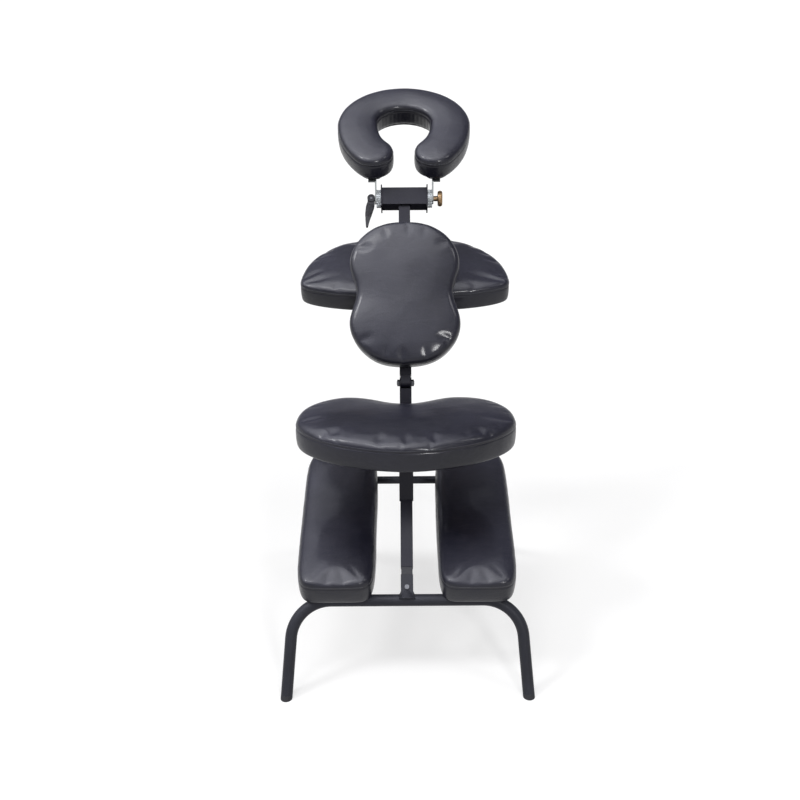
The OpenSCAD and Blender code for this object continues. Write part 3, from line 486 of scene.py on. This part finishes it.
def fillGrid(loop, across, deep, rounds=260):
    u = np.linspace(0, 1, across + 1)[None, :, None]
    v = np.linspace(0, 1, deep + 1)[:, None, None]
    near = loop[0:across + 1]
    right = loop[across:across + deep + 1]
    far = loop[across + deep:2 * across + deep + 1][::-1]
    left = np.concatenate([loop[2 * across + deep:], loop[:1]])[::-1]
    grid = (1 - v) * near[None] + v * far[None] + (1 - u) * left[:, None] + u * right[:, None]
    grid = grid - (1 - u) * (1 - v) * near[0] - u * (1 - v) * near[-1]
    grid = grid - (1 - u) * v * far[0] - u * v * far[-1]
    for _ in range(rounds):
        grid[1:-1, 1:-1] = (grid[:-2, 1:-1] + grid[2:, 1:-1] + grid[1:-1, :-2] + grid[1:-1, 2:]) / 4
    return grid


def borderCells(across, deep):
    cells = [(0, i) for i in range(across)]
    cells += [(j, across) for j in range(deep)]
    cells += [(deep, across - i) for i in range(across)]
    cells += [(deep - j, 0) for j in range(deep)]
    return cells


# below the seam: height as a share of the side, and how far in from the outline, in quarters of the crown
sideRings = [
    (0.69, 0.15), (0.6, 0.0), (0.48, 0.0), (0.34, 0.05), (0.2, 0.25), (0.09, 0.6), (0.025, 1.2), (0.0, 2.4),
]
# the seam's height as a share of the side, the turns of the shoulder above it in degrees, its bulge, its rise
# as a share of the crown, how far the seam is drawn in, and the reach of the slope to the flat top, in crowns
shoulder = {
    "seam": 0.77, "turns": (74.0, 55.0, 38.0, 23.0, 10.0), "puff": 0.0014, "rise": 0.55, "draw": 0.35,
    "slope": 5,
}
seamRow = len(shoulder["turns"])
freeRows = seamRow + len(sideRings)


class Pad:
    def __init__(self, values, loop):
        self.values = values
        self.loop = loop
        self.across = values["across"]
        self.deep = values["deep"]
        self.build()

    def level(self, inset, height):
        return np.concatenate([self.loop - self.out * inset, np.full((len(self.loop), 1), height)], axis=1)

    def build(self):
        v = self.values
        across, deep = self.across, self.deep
        soft = v["crown"] / 4
        self.out = outward(self.loop)
        self.seamHeight = v["side"] * shoulder["seam"]
        self.edgeHeight = v["side"] + v["crown"] * shoulder["rise"]
        edge = self.loop - self.out * v["shoulder"]
        flat = fillGrid(edge, across, deep).reshape(-1, 2)
        nearest = np.full(len(flat), 1e9)
        for start in range(0, len(edge), 40):
            gap = flat[:, None, :] - edge[None, start:start + 40, :]
            nearest = np.minimum(nearest, np.sqrt((gap ** 2).sum(2)).min(1))
        dome = 1 - np.exp(-nearest / (v["crown"] * shoulder["slope"]))
        z = self.edgeHeight + v["crown"] * (1 - shoulder["rise"]) * dome
        top = np.concatenate([flat, z[:, None]], axis=1)
        rings = []
        for degrees in shoulder["turns"]:
            turn = math.radians(degrees)
            inset = v["shoulder"] * (1 - math.cos(turn)) - shoulder["puff"] * math.sin(2 * turn)
            height = self.seamHeight + (self.edgeHeight - self.seamHeight) * math.sin(turn)
            rings.append(self.level(inset + soft * shoulder["draw"] * math.cos(turn), height))
        rings.append(self.level(soft * shoulder["draw"], self.seamHeight))
        rings += [self.level(soft * inset, v["side"] * share) for share, inset in sideRings]
        recess = self.loop - self.out * v["rim"]
        rings.append(self.level(v["rim"], 0.0))
        rings.append(self.level(v["rim"], v["recess"]))
        under = fillGrid(recess, across, deep, rounds=120).reshape(-1, 2)
        under = np.concatenate([under, np.full((len(under), 1), v["recess"])], axis=1)
        self.count = len(self.loop)
        self.topCount = len(top)
        self.points = np.concatenate([top] + rings + [under])
        self.ringCount = len(rings)
        self.border = [j * (across + 1) + i for j, i in borderCells(across, deep)]

    def ring(self, k):
        start = self.topCount + k * self.count
        return list(range(start, start + self.count))

    def gridFaces(self, start, border=None, flip=False):
        width = self.across + 1
        swap = dict(zip(self.border, border)) if border is not None else {}
        faces = []
        for j in range(self.deep):
            for i in range(self.across):
                a = j * width + i
                quad = [a, a + 1, a + width + 1, a + width]
                quad = [swap.get(q, q + start) for q in quad]
                faces.append(tuple(reversed(quad)) if flip else tuple(quad))
        return faces

    def bandFaces(self, upper, lower):
        n = len(upper)
        return [(upper[i], lower[i], lower[(i + 1) % n], upper[(i + 1) % n]) for i in range(n)]

    def simFaces(self):
        faces = self.gridFaces(0)
        rows = [self.border] + [self.ring(k) for k in range(self.ringCount)]
        for upper, lower in zip(rows[:-1], rows[1:]):
            faces += self.bandFaces(upper, lower)
        underStart = self.topCount + self.ringCount * self.count
        lastRing = self.ring(self.ringCount - 1)
        faces += self.gridFaces(underStart, lastRing, True)
        return faces

    def held(self):
        fixed = self.ring(seamRow)
        for k in range(freeRows, self.ringCount):
            fixed += self.ring(k)
        return fixed + list(range(self.topCount + self.ringCount * self.count, len(self.points)))


def meshObject(name, points, faces, edges=()):
    mesh = bpy.data.meshes.new(name)
    mesh.from_pydata([tuple(p) for p in points], list(edges), faces)
    mesh.validate()
    obj = bpy.data.objects.new(name, mesh)
    scene.collection.objects.link(obj)
    return obj


def dropObject(obj):
    mesh = obj.data
    bpy.data.objects.remove(obj)
    bpy.data.meshes.remove(mesh)


kneePad = {
    "body": "base", "turn": lean["knees"], "outline": plainOutline,
    "width": 0.164, "front": 0.209, "rear": 0.209, "frontPower": 7.0, "rearPower": 7.0,
    "shoulder": 0.015, "gather": 0.0,
    "side": 0.057, "crown": 0.009, "rim": 0.012, "recess": 0.0123, "across": 34, "deep": 84, "fill": 0.8,
}
pads = {
    "seatPad": {
        "node": "seat_cushion", "body": "base", "turn": 0.0, "outline": seatOutline, "width": 0.466,
        "front": 0.140, "rear": 0.132, "frontPower": 2.4, "rearPower": 1.8,
        "notch": 0.055, "notchWidth": 0.090,
        "shoulder": 0.016, "gather": 0.0003,
        "side": 0.058, "crown": 0.011, "rim": 0.012, "recess": 0.0123, "across": 88, "deep": 48, "fill": 0.75,
    },
    "kneePadLeft": {**kneePad, "node": "knee_cushion_left"},
    "kneePadRight": {**kneePad, "node": "knee_cushion_right"},
    "chestPad": {
        "node": "chest_cushion", "body": "chest_rest", "turn": 90.0 - lean["mast"], "outline": chestOutline,
        "width": 0.242, "waist": 0.212, "lobeShare": 0.9, "front": 0.163, "rear": 0.163,
        "frontPower": 2.4, "rearPower": 2.4, "side": 0.046, "crown": 0.010, "rim": 0.012, "recess": 0.0123,
        "shoulder": 0.016, "gather": 0.0003,
        "across": 46, "deep": 64, "fill": 0.8,
    },
    "armPad": {
        "node": "arm_cushion", "body": "arm_rest", "turn": lean["armPad"], "outline": plainOutline,
        "width": 0.484, "front": 0.210, "rear": 0.056, "near": 0.050,
        "frontPower": 2.2, "rearPower": 2.1,
        "shoulder": 0.014, "gather": 0.0,
        "side": 0.050, "crown": 0.009, "rim": 0.012, "recess": 0.0123, "across": 88, "deep": 44, "fill": 0.75,
    },
    "facePad": {
        "node": "cradle_cushion", "body": "face_rest", "turn": lean["facePad"], "outline": None,
        "width": 0.308, "length": 0.285, "opening": 0.122, "neck": 0.046, "middleShare": 0.53,
        "crownShare": 0.88, "side": 0.046, "crown": 0.012, "rim": 0.010, "recess": 0.001,
        "across": 160, "deep": 16, "fill": 0.7, "shoulder": 0.017, "gather": 0.0006,
    },
}


def turnedBox(node, angle):
    back = Matrix.Rotation(math.radians(-angle), 3, "X")
    co = np.array([back @ v.co for v in nodes[node].data.vertices])
    return co.min(0), co.max(0)


def padPlace(pad):
    low, high = turnedBox(pad["node"], pad["turn"])
    start = low[1] if pad["outline"] is None else low[1] + pad.get("near", pad["rear"])
    spot = Vector(((low[0] + high[0]) / 2, start, low[2]))
    turn = Matrix.Rotation(math.radians(pad["turn"]), 4, "X")
    return turn @ Matrix.Translation(spot)


def buildPads():
    made = {}
    for name, values in pads.items():
        if values["outline"] is None:
            loop = facePadLoop(values)
        else:
            loop = fromMiddle(values["outline"](values), values)
        made[name] = Pad(values, loop)
    return made


# The covers are blown up a little between their seams, so that they swell and pull like stuffed vinyl.
# No point moves more than the cap, which is metres.
cloth = {
    "frames": 20, "pressure": 4.0, "mass": 0.35, "tension": 18.0, "shear": 6.0, "bending": 8.0,
    "slack": 0.0, "cap": 0.0048, "quality": 6, "damping": 6.0,
}


def swell(made):
    carriers = {}
    for name, pad in made.items():
        obj = meshObject(name + "Cloth", pad.points, pad.simFaces())
        group = obj.vertex_groups.new(name="held")
        group.add(pad.held(), 1.0, "REPLACE")
        modifier = obj.modifiers.new("cover", "CLOTH")
        settings = modifier.settings
        settings.quality = cloth["quality"]
        settings.mass = cloth["mass"]
        settings.air_damping = cloth["damping"]
        settings.tension_stiffness = cloth["tension"]
        settings.compression_stiffness = cloth["tension"]
        settings.shear_stiffness = cloth["shear"]
        settings.bending_stiffness = cloth["bending"]
        settings.shrink_min = cloth["slack"]
        settings.vertex_group_mass = "held"
        settings.use_pressure = True
        settings.uniform_pressure_force = cloth["pressure"]
        settings.effector_weights.gravity = 0.0
        modifier.collision_settings.use_collision = False
        modifier.point_cache.frame_start = 1
        modifier.point_cache.frame_end = cloth["frames"]
        carriers[name] = obj
    for number in range(1, cloth["frames"] + 1):
        scene.frame_set(number)
    graph = bpy.context.evaluated_depsgraph_get()
    for name, obj in carriers.items():
        blown = obj.evaluated_get(graph).to_mesh()
        co = np.zeros(len(blown.vertices) * 3)
        blown.vertices.foreach_get("co", co)
        rest = made[name].points
        move = co.reshape(-1, 3) - rest
        size = np.linalg.norm(move, axis=1)
        share = cloth["cap"] * np.tanh(size / cloth["cap"]) / np.maximum(size, 1e-9)
        made[name].points = rest + move * share[:, None]
        print("cover swelled:", name, "largest move %.1f mm" % (1000 * size.max()))
        obj.evaluated_get(graph).to_mesh_clear()
    for obj in carriers.values():
        dropObject(obj)
    scene.frame_set(1)


seam = {
    "lip": 0.0016, "depth": 0.0016, "pucker": 0.0007, "puckerReach": 0.013, "puckerLength": 0.016,
    "softness": 0.0009, "softLength": 0.055, "softShift": (7.1, 3.3, 1.7), "gatherStep": 0.0105,
    "gatherReach": 0.03, "gatherDrift": 2.2, "upperOut": 0.3, "lowerOut": 0.15, "hollowBend": 0.05,
    "hollowRounds": 12,
}


def unit(vectors):
    return vectors / np.maximum(np.linalg.norm(vectors, axis=1)[:, None], 1e-9)


def hollowness(pad):
    # 1 where the outline turns inwards, as round the face opening, and 0 elsewhere
    d = unit(np.roll(pad.loop, -1, axis=0) - pad.loop)
    before = np.roll(d, 1, axis=0)
    turn = before[:, 0] * d[:, 1] - before[:, 1] * d[:, 0]
    step = np.linalg.norm(np.roll(pad.loop, -1, axis=0) - pad.loop, axis=1)
    bent = np.clip(-turn / step * seam["hollowBend"], 0, 1)
    for _ in range(seam["hollowRounds"]):
        bent = (np.roll(bent, 1) + bent + np.roll(bent, -1)) / 3
    return bent, np.cumsum(step)


def ruffle(pad, line, proud):
    # gathered folds that die away from the seam, and a slow unevenness all over
    points = pad.points
    free = np.arange(pad.topCount + (freeRows - 1) * pad.count)
    free = np.setdiff1d(free, np.array(pad.ring(seamRow)))
    nearest = np.zeros(len(free), int)
    distance = np.full(len(free), 1e9)
    for start in range(0, len(line), 40):
        gap = np.linalg.norm(points[free][:, None, :] - line[None, start:start + 40, :], axis=2)
        closer = gap.min(1) < distance
        nearest[closer] = start + gap.argmin(1)[closer]
        distance[closer] = gap.min(1)[closer]
    wave = np.array([noise.noise(Vector(p) / seam["puckerLength"]) for p in line])
    shift = Vector(seam["softShift"])
    slow = np.array([noise.noise(Vector(p) / seam["softLength"] + shift) for p in points[free]])
    bent, run = hollowness(pad)
    phase = 2 * math.pi * run / seam["gatherStep"] + seam["gatherDrift"] * wave
    pleat = pad.values["gather"] * bent * np.cos(phase)
    amount = seam["pucker"] * wave[nearest] * np.exp(-distance / seam["puckerReach"]) + seam["softness"] * slow
    lift = np.clip((points[free][:, 2] - pad.seamHeight) / (pad.edgeHeight - pad.seamHeight), 0, 1)[:, None]
    amount += pleat[nearest] * np.exp(-distance / seam["gatherReach"]) * (1 - lift[:, 0]) ** 3
    moved = points.copy()
    moved[free] += (proud[nearest] * (1 - lift) + np.array([0.0, 0.0, 1.0]) * lift) * amount[:, None]
    return moved


def dress(name, pad, placed):
    line = pad.points[np.array(pad.ring(seamRow))].copy()
    above = unit(pad.points[np.array(pad.ring(seamRow - 1))] - line)
    below = unit(pad.points[np.array(pad.ring(seamRow + 1))] - line)
    proud = np.concatenate([pad.out, np.zeros((len(pad.out), 1))], axis=1)
    points = ruffle(pad, line, proud)

    # the seam's single ring becomes a groove of three
    upper = line + above * seam["lip"] + proud * seam["lip"] * seam["upperOut"]
    valley = line - proud * seam["depth"]
    lower = line + below * seam["lip"] + proud * seam["lip"] * seam["lowerOut"]
    start = len(points)
    count = pad.count
    allPoints = np.concatenate([points, upper, valley, lower])
    groove = [list(range(start + k * count, start + (k + 1) * count)) for k in range(3)]
    rows = [pad.border] + [pad.ring(k) for k in range(seamRow)] + groove
    rows += [pad.ring(k) for k in range(seamRow + 1, pad.ringCount)]
    faces = pad.gridFaces(0)
    for first, second in zip(rows[:-1], rows[1:]):
        faces += pad.bandFaces(first, second)
    underStart = pad.topCount + pad.ringCount * count
    faces += pad.gridFaces(underStart, pad.ring(pad.ringCount - 1), True)

    used = sorted({k for face in faces for k in face})
    renumber = {k: i for i, k in enumerate(used)}
    faces = [tuple(renumber[k] for k in face) for face in faces]
    shell = meshObject(name + "Shell", allPoints[used], faces)
    shell.data.transform(placed)
    shell.modifiers.new("smooth", "SUBSURF").levels = 1
    shell.modifiers["smooth"].render_levels = 1
    bpy.context.view_layer.update()
    graph = bpy.context.evaluated_depsgraph_get()
    final = bpy.data.meshes.new_from_object(shell.evaluated_get(graph))
    dropObject(shell)
    final.name = name
    final.materials.append(materials["black_leatherette"])
    final.shade_smooth()
    piece = bpy.data.objects.new(name, final)
    scene.collection.objects.link(piece)
    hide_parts(pad.values["node"])
    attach(piece, pad.values["body"])
    return piece, line, above


# Rows of small things along a path: stitches and weld beads

def newRule(name, inputs):
    geometry = ("Geometry", "Geometry", None)
    return newGroup(name, [geometry] + inputs, [geometry], "GeometryNodeTree")


def endRule(tree, geometry, material, result):
    solid = add(tree, "GeometryNodeRealizeInstances", {"Geometry": geometry})
    painted = add(tree, "GeometryNodeSetMaterial", {"Geometry": solid.outputs[0], "Material": material})
    tree.links.new(painted.outputs[0], result.inputs[0])


def makeRowRule():
    tree, given, result = newRule("rowAlongPath", [
        ("Spacing", "Float", 0.004), ("Length", "Float", 0.003), ("Width", "Float", 0.0008),
        ("Tilt", "Float", 0.08), ("Seed", "Int", 3), ("Material", "Material", None),
    ])
    path = add(tree, "GeometryNodeMeshToCurve", {"Mesh": given["Geometry"]})
    dots = add(
        tree, "GeometryNodeResampleCurve", {"Curve": path.outputs[0], "Length": given["Spacing"]}, mode="LENGTH"
    )
    bead = add(tree, "GeometryNodeMeshUVSphere", {"Segments": 8, "Rings": 6, "Radius": 0.5})
    size = add(tree, "ShaderNodeCombineXYZ", {0: given["Length"], 1: given["Width"], 2: given["Width"]})
    shaped = add(tree, "GeometryNodeTransform", {"Geometry": bead.outputs["Mesh"], "Scale": size.outputs[0]})
    tangent = add(tree, "GeometryNodeInputTangent")
    aim = add(tree, "FunctionNodeAlignRotationToVector", {"Vector": tangent.outputs[0]}, axis="X")
    low = maths(tree, "MULTIPLY", given["Tilt"], -1.0)
    sway = add(
        tree, "FunctionNodeRandomValue", {0: low, 1: given["Tilt"], "Seed": given["Seed"]},
        data_type="FLOAT_VECTOR",
    )
    turn = add(tree, "FunctionNodeEulerToRotation", {0: sway.outputs[0]})
    turned = add(
        tree, "FunctionNodeRotateRotation", {0: aim.outputs[0], 1: turn.outputs[0]}, rotation_space="LOCAL"
    )
    row = add(tree, "GeometryNodeInstanceOnPoints", {
        "Points": dots.outputs[0], "Instance": shaped.outputs[0], "Rotation": turned.outputs[0],
    })
    endRule(tree, row.outputs[0], given["Material"], result)
    return tree


# Ribs round a flat handle, each as large and as turned as its point's ribSize and ribTurn say

def makeRibRule():
    tree, given, result = newRule("ribsOnHandle", [
        ("Thickness", "Float", 0.0008), ("Material", "Material", None),
    ])
    size = add(tree, "GeometryNodeInputNamedAttribute", {"Name": "ribSize"}, data_type="FLOAT_VECTOR")
    turn = add(tree, "GeometryNodeInputNamedAttribute", {"Name": "ribTurn"}, data_type="FLOAT_VECTOR")
    aim = add(tree, "FunctionNodeEulerToRotation", {0: turn.outputs[0]})
    loop = add(tree, "GeometryNodeCurvePrimitiveQuadrilateral", {"Width": 1.0, "Height": 1.0})
    placed = add(tree, "GeometryNodeInstanceOnPoints", {
        "Points": given["Geometry"], "Instance": loop.outputs[0], "Rotation": aim.outputs[0],
        "Scale": size.outputs[0],
    })
    curves = add(tree, "GeometryNodeRealizeInstances", {"Geometry": placed.outputs[0]})
    profile = add(tree, "GeometryNodeCurvePrimitiveCircle", {"Resolution": 8, "Radius": given["Thickness"]})
    tube = add(
        tree, "GeometryNodeCurveToMesh", {"Curve": curves.outputs[0], "Profile Curve": profile.outputs[0]}
    )
    endRule(tree, tube.outputs[0], given["Material"], result)
    return tree


# Ridges round a wheel, such as a knob's grip

def makeRidgeRule():
    tree, given, result = newRule("ridgesRoundWheel", [
        ("Count", "Int", 36), ("Radius", "Float", 0.017), ("Length", "Float", 0.006),
        ("Width", "Float", 0.001), ("Material", "Material", None),
    ])
    wheel = add(tree, "GeometryNodeMeshCircle", {"Vertices": given["Count"], "Radius": given["Radius"]})
    bead = add(tree, "GeometryNodeMeshUVSphere", {"Segments": 8, "Rings": 8, "Radius": 0.5})
    size = add(tree, "ShaderNodeCombineXYZ", {0: given["Width"], 1: given["Width"], 2: given["Length"]})
    shaped = add(tree, "GeometryNodeTransform", {"Geometry": bead.outputs["Mesh"], "Scale": size.outputs[0]})
    row = add(
        tree, "GeometryNodeInstanceOnPoints", {"Points": wheel.outputs[0], "Instance": shaped.outputs[0]}
    )
    endRule(tree, row.outputs[0], given["Material"], result)
    return tree


rowRule = makeRowRule()
ribRule = makeRibRule()
ridgeRule = makeRidgeRule()


def loopEdges(count, closed=True):
    return [(i, (i + 1) % count) for i in range(count if closed else count - 1)]


def follow(name, rule, paths, values, body, placed=None, marks=None):
    points, edges = [], []
    for path, closed in paths:
        edges += [(a + len(points), b + len(points)) for a, b in loopEdges(len(path), closed)]
        points += [tuple(p) for p in path]
    carrier = meshObject(name + "Path", points, [], edges)
    for label, vectors in (marks or {}).items():
        mark = carrier.data.attributes.new(label, "FLOAT_VECTOR", "POINT")
        mark.data.foreach_set("vector", np.ravel(vectors))
    modifier = carrier.modifiers.new("rule", "NODES")
    modifier.node_group = rule
    for item in rule.interface.items_tree:
        if item.item_type == "SOCKET" and item.in_out == "INPUT" and item.name in values:
            modifier[item.identifier] = values[item.name]
    bpy.context.view_layer.update()
    graph = bpy.context.evaluated_depsgraph_get()
    made = bpy.data.meshes.new_from_object(carrier.evaluated_get(graph))
    dropObject(carrier)
    if placed is not None:
        made.transform(placed)
    made.shade_smooth()
    piece = bpy.data.objects.new(name, made)
    scene.collection.objects.link(piece)
    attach(piece, body)
    print("row made:", name, len(made.polygons), "faces")


# how proud a stitch stands is a share of its width
stitches = {
    "spacing": 0.0042, "length": 0.0034, "width": 0.0009, "fromSeam": 0.0048, "tilt": 0.06, "proud": 0.12,
}


def sewRow(name, piece, line, toward, placed, body):
    mesh = piece.data
    tree = BVHTree.FromPolygons([v.co for v in mesh.vertices], [p.vertices for p in mesh.polygons])
    path = []
    for point, step in zip(line, toward):
        spot = placed @ Vector(point + step * stitches["fromSeam"])
        hit, normal, _, _ = tree.find_nearest(spot)
        path.append(hit + normal * stitches["width"] * stitches["proud"])
    values = {
        "Spacing": stitches["spacing"], "Length": stitches["length"], "Width": stitches["width"],
        "Tilt": stitches["tilt"], "Material": materials["seam_thread"],
    }
    follow(name, rowRule, [(path, True)], values, body)


made = buildPads()
swell(made)
for name, pad in made.items():
    placed = padPlace(pad.values)
    piece, line, above = dress(name, pad, placed)
    sewRow(name + "Stitches", piece, line, above, placed, pad.values["body"])
    print("cushion made:", name, len(piece.data.polygons), "faces")


# Welds, the lever's ribs and the knob's grip

def middle(node):
    low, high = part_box(node)
    return (low + high) / 2


weld = {"spacing": 0.0021, "length": 0.0036, "width": 0.0042, "tilt": 0.2, "steps": 48}


def weldRow(name, path, body, size=1.0):
    values = {
        "Spacing": weld["spacing"] * size, "Length": weld["length"] * size, "Width": weld["width"] * size,
        "Tilt": weld["tilt"], "Material": materials["black_frame_paint"],
    }
    follow(name, rowRule, [(path, True)], values, body)


def squareLoop(centre, side, matrix):
    corners = [(-1, -1), (1, -1), (1, 1), (-1, 1), (-1, -1)]
    points = evenly([(x * side / 2, y * side / 2, 0.0) for x, y in corners], weld["steps"])[:-1]
    return [centre + matrix @ Vector(p) for p in points]


head = middle("clamp_rod")
head.x = 0.0
mastTurn = Matrix.Rotation(math.radians(-lean["mast"]), 3, "X")
channel = {"side": 0.040, "post": 0.0218, "weld": 0.42}
postTop = head + mastTurn @ Vector((0, 0, -channel["side"] / 2))
weldRow("headWeld", squareLoop(postTop, channel["post"], mastTurn), "head_stem", channel["weld"])

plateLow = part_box("seat_plate")[0].z
postLow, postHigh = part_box("seat_post")
seatPostTop = Vector((0, (postLow.y + postHigh.y) / 2, plateLow))
seatPostSide = postHigh.x - postLow.x
weldRow("seatPostWeld", squareLoop(seatPostTop, seatPostSide, Matrix.Identity(3)), "base")

# the handle's stations are its way out, its way down and its radius, as shares of its length
leverLook = {
    "length": 0.068, "thickness": 0.011, "ribs": 9, "firstRib": 0.22, "lastRib": 0.62, "bar": 0.0008,
    "stations": [
        (0.0, 0.12, 0.12), (0.045, 0.3, 0.13), (0.095, 0.53, 0.105), (0.13, 0.76, 0.068), (0.147, 0.96, 0.036),
    ],
}


def leverRibs(look):
    path, sizes, turns = [], [], []
    for i in range(look["ribs"]):
        depth = look["firstRib"] + (look["lastRib"] - look["firstRib"]) * i / (look["ribs"] - 1)
        for (outA, downA, wideA), (outB, downB, wideB) in zip(look["stations"][:-1], look["stations"][1:]):
            if downA <= depth < downB:
                share = (depth - downA) / (downB - downA)
                path.append((-look["length"] * (outA + share * (outB - outA)), 0.0, -look["length"] * depth))
                sizes.append((2 * look["length"] * (wideA + share * (wideB - wideA)), look["thickness"], 1.0))
                turns.append((0.0, math.atan2(outB - outA, downB - downA), 0.0))
    placed = Matrix.Translation(middle("cam_pin")) @ mastTurn.to_4x4()
    values = {"Thickness": look["bar"], "Material": materials["black_plastic"]}
    follow("leverRibs", ribRule, [(path, False)], values, "cam_lever", placed,
           {"ribSize": sizes, "ribTurn": turns})


leverRibs(leverLook)

# the ridges are sunk into the rim by a share of their width
knobLook = {"ridges": 40, "ridgeLength": 0.0062, "ridgeWidth": 0.0013, "sunk": 0.2, "head": 0.011}
knobLow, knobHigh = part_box("brass_knob")
knobCentre = Vector((knobHigh.x - knobLook["head"] / 2, head.y, head.z))
values = {
    "Count": knobLook["ridges"],
    "Radius": (knobHigh.z - knobLow.z) / 2 - knobLook["ridgeWidth"] * knobLook["sunk"],
    "Length": knobLook["ridgeLength"], "Width": knobLook["ridgeWidth"], "Material": materials["brass"],
}
knobPlace = Matrix.Translation(knobCentre) @ Matrix.Rotation(math.radians(90), 4, "Y")
carrierPath = [knobCentre, knobCentre + Vector((0, 0, 0.001))]  # the rule makes its own wheel
follow("knobGrip", ridgeRule, [(carrierPath, False)], values, "brass_knob", knobPlace)
print("welds, ribs and grip made")


# Studio: pale floor, white backdrop for the camera, a broad light overhead and four smaller ones

studio = {
    "floorSize": 60.0, "floorColour": (0.45, 0.45, 0.455), "floorGlow": 0.6, "floorBounce": (0.2, 0.2, 0.22),
    "horizon": (1.0, 1.0, 1.0), "above": (0.3, 0.3, 0.37), "ambient": 0.24, "fadeLow": 0.03, "fadeHigh": 0.16,
    # a panel overhead that only reflections show: its place, its colour, brighter than white, and its edges
    # as cosines of the angle from its middle
    "panel": (-0.42, -0.12, 0.9), "panelColour": (4.2, 4.25, 4.7), "panelEdge": 0.6, "panelFull": 0.96,
    "lights": {
        # strength, angular size, height above the floor and turn to the camera's right, in degrees
        "overhead": (0.8, 50.0, 78.0, -30.0),
        "strip": (0.35, 14.0, 66.0, -35.0),
        "key": (1.0, 9.0, 27.0, 19.0),
        "left": (1.0, 13.0, 50.0, -68.0),
        "right": (0.35, 13.0, 50.0, 68.0),
    },
}


def shownShare(tree):
    rays = tree.nodes.new("ShaderNodeLightPath")
    seen = maths(tree, "ADD", rays.outputs["Is Camera Ray"], rays.outputs["Is Glossy Ray"])
    return maths(tree, "ADD", seen, rays.outputs["Is Transmission Ray"], True)


def makeFloor(look):
    half = look["floorSize"] / 2
    corners = [(-half, -half, 0), (half, -half, 0), (half, half, 0), (-half, half, 0)]
    floor = meshObject("floor", corners, [(0, 1, 2, 3)])
    material = bpy.data.materials.new("floorPaper")
    tree, output = freshTree(material, "ShaderNodeOutputMaterial")
    paper = add(tree, "ShaderNodeBsdfDiffuse", {"Color": (*look["floorColour"], 1.0)})
    glow = add(tree, "ShaderNodeEmission", {"Color": (1, 1, 1, 1), "Strength": look["floorGlow"]})
    both = add(tree, "ShaderNodeAddShader", {0: paper.outputs[0], 1: glow.outputs[0]})
    bounce = add(tree, "ShaderNodeBsdfDiffuse", {"Color": (*look["floorBounce"], 1.0)})
    mixed = add(tree, "ShaderNodeMixShader", {0: shownShare(tree), 1: bounce.outputs[0], 2: both.outputs[0]})
    tree.links.new(mixed.outputs[0], output.inputs["Surface"])
    floor.data.materials.append(material)


def makeWorld(look):
    world = bpy.data.worlds.new("studio")
    scene.world = world
    tree, output = freshTree(world, "ShaderNodeOutputWorld")
    spot = tree.nodes.new("ShaderNodeTexCoord").outputs["Generated"]
    height = add(tree, "ShaderNodeSeparateXYZ", {0: spot}).outputs["Z"]
    fade = remap(tree, height, look["fadeLow"], look["fadeHigh"])
    seenColour = blendColours(tree, fade, look["horizon"], look["above"])
    toward = Vector(look["panel"]).normalized()
    near = add(tree, "ShaderNodeVectorMath", {0: spot, 1: toward}, operation="DOT_PRODUCT").outputs["Value"]
    inPanel = remap(tree, near, look["panelEdge"], look["panelFull"])
    seenColour = blendColours(tree, inPanel, seenColour, look["panelColour"])
    shown = add(tree, "ShaderNodeBackground", {"Color": seenColour, "Strength": 1.0})
    soft = add(tree, "ShaderNodeBackground", {"Color": (1, 1, 1, 1), "Strength": look["ambient"]})
    mixed = add(tree, "ShaderNodeMixShader", {0: shownShare(tree), 1: soft.outputs[0], 2: shown.outputs[0]})
    plain = add(tree, "ShaderNodeBackground", {"Color": (1, 1, 1, 1), "Strength": 1.0})
    fromCamera = tree.nodes.new("ShaderNodeLightPath").outputs["Is Camera Ray"]
    whole = add(tree, "ShaderNodeMixShader", {0: fromCamera, 1: mixed.outputs[0], 2: plain.outputs[0]})
    tree.links.new(whole.outputs[0], output.inputs["Surface"])


def makeSun(name, strength, angle, height, aside):
    lamp = bpy.data.lights.new(name, "SUN")
    lamp.energy = strength
    lamp.angle = math.radians(angle)
    up, turn = math.radians(height), math.radians(aside)
    direction = Vector((math.sin(turn) * math.cos(up), -math.cos(turn) * math.cos(up), math.sin(up)))
    obj = bpy.data.objects.new(name, lamp)
    obj.rotation_mode = "QUATERNION"
    obj.rotation_quaternion = direction.to_track_quat("Z", "Y")
    scene.collection.objects.link(obj)


makeFloor(studio)
makeWorld(studio)
for name, values in studio["lights"].items():
    makeSun(name, *values)

# Camera, from the vanishing of the knee pads and the usual widths of such a chair's seat and face cushion
view = {
    "place": (0.0, -2.203774, 1.481326), "down": 24.0, "roll": -0.4, "lens": 47.52, "sensor": 36.0,
    "shiftX": -0.007125, "clip": (0.05, 200.0),
}
camera = bpy.data.cameras.new("camera")
camera.lens = view["lens"]
camera.sensor_width = view["sensor"]
camera.shift_x = view["shiftX"]
camera.clip_start, camera.clip_end = view["clip"]
cameraObject = bpy.data.objects.new("camera", camera)
cameraObject.location = view["place"]
rise = Matrix.Rotation(math.radians(90.0 - view["down"]), 3, "X")
cameraObject.rotation_euler = (rise @ Matrix.Rotation(math.radians(view["roll"]), 3, "Z")).to_euler()
scene.collection.objects.link(cameraObject)
scene.camera = cameraObject
scene.view_settings.view_transform = "Standard"
print("studio and camera made")
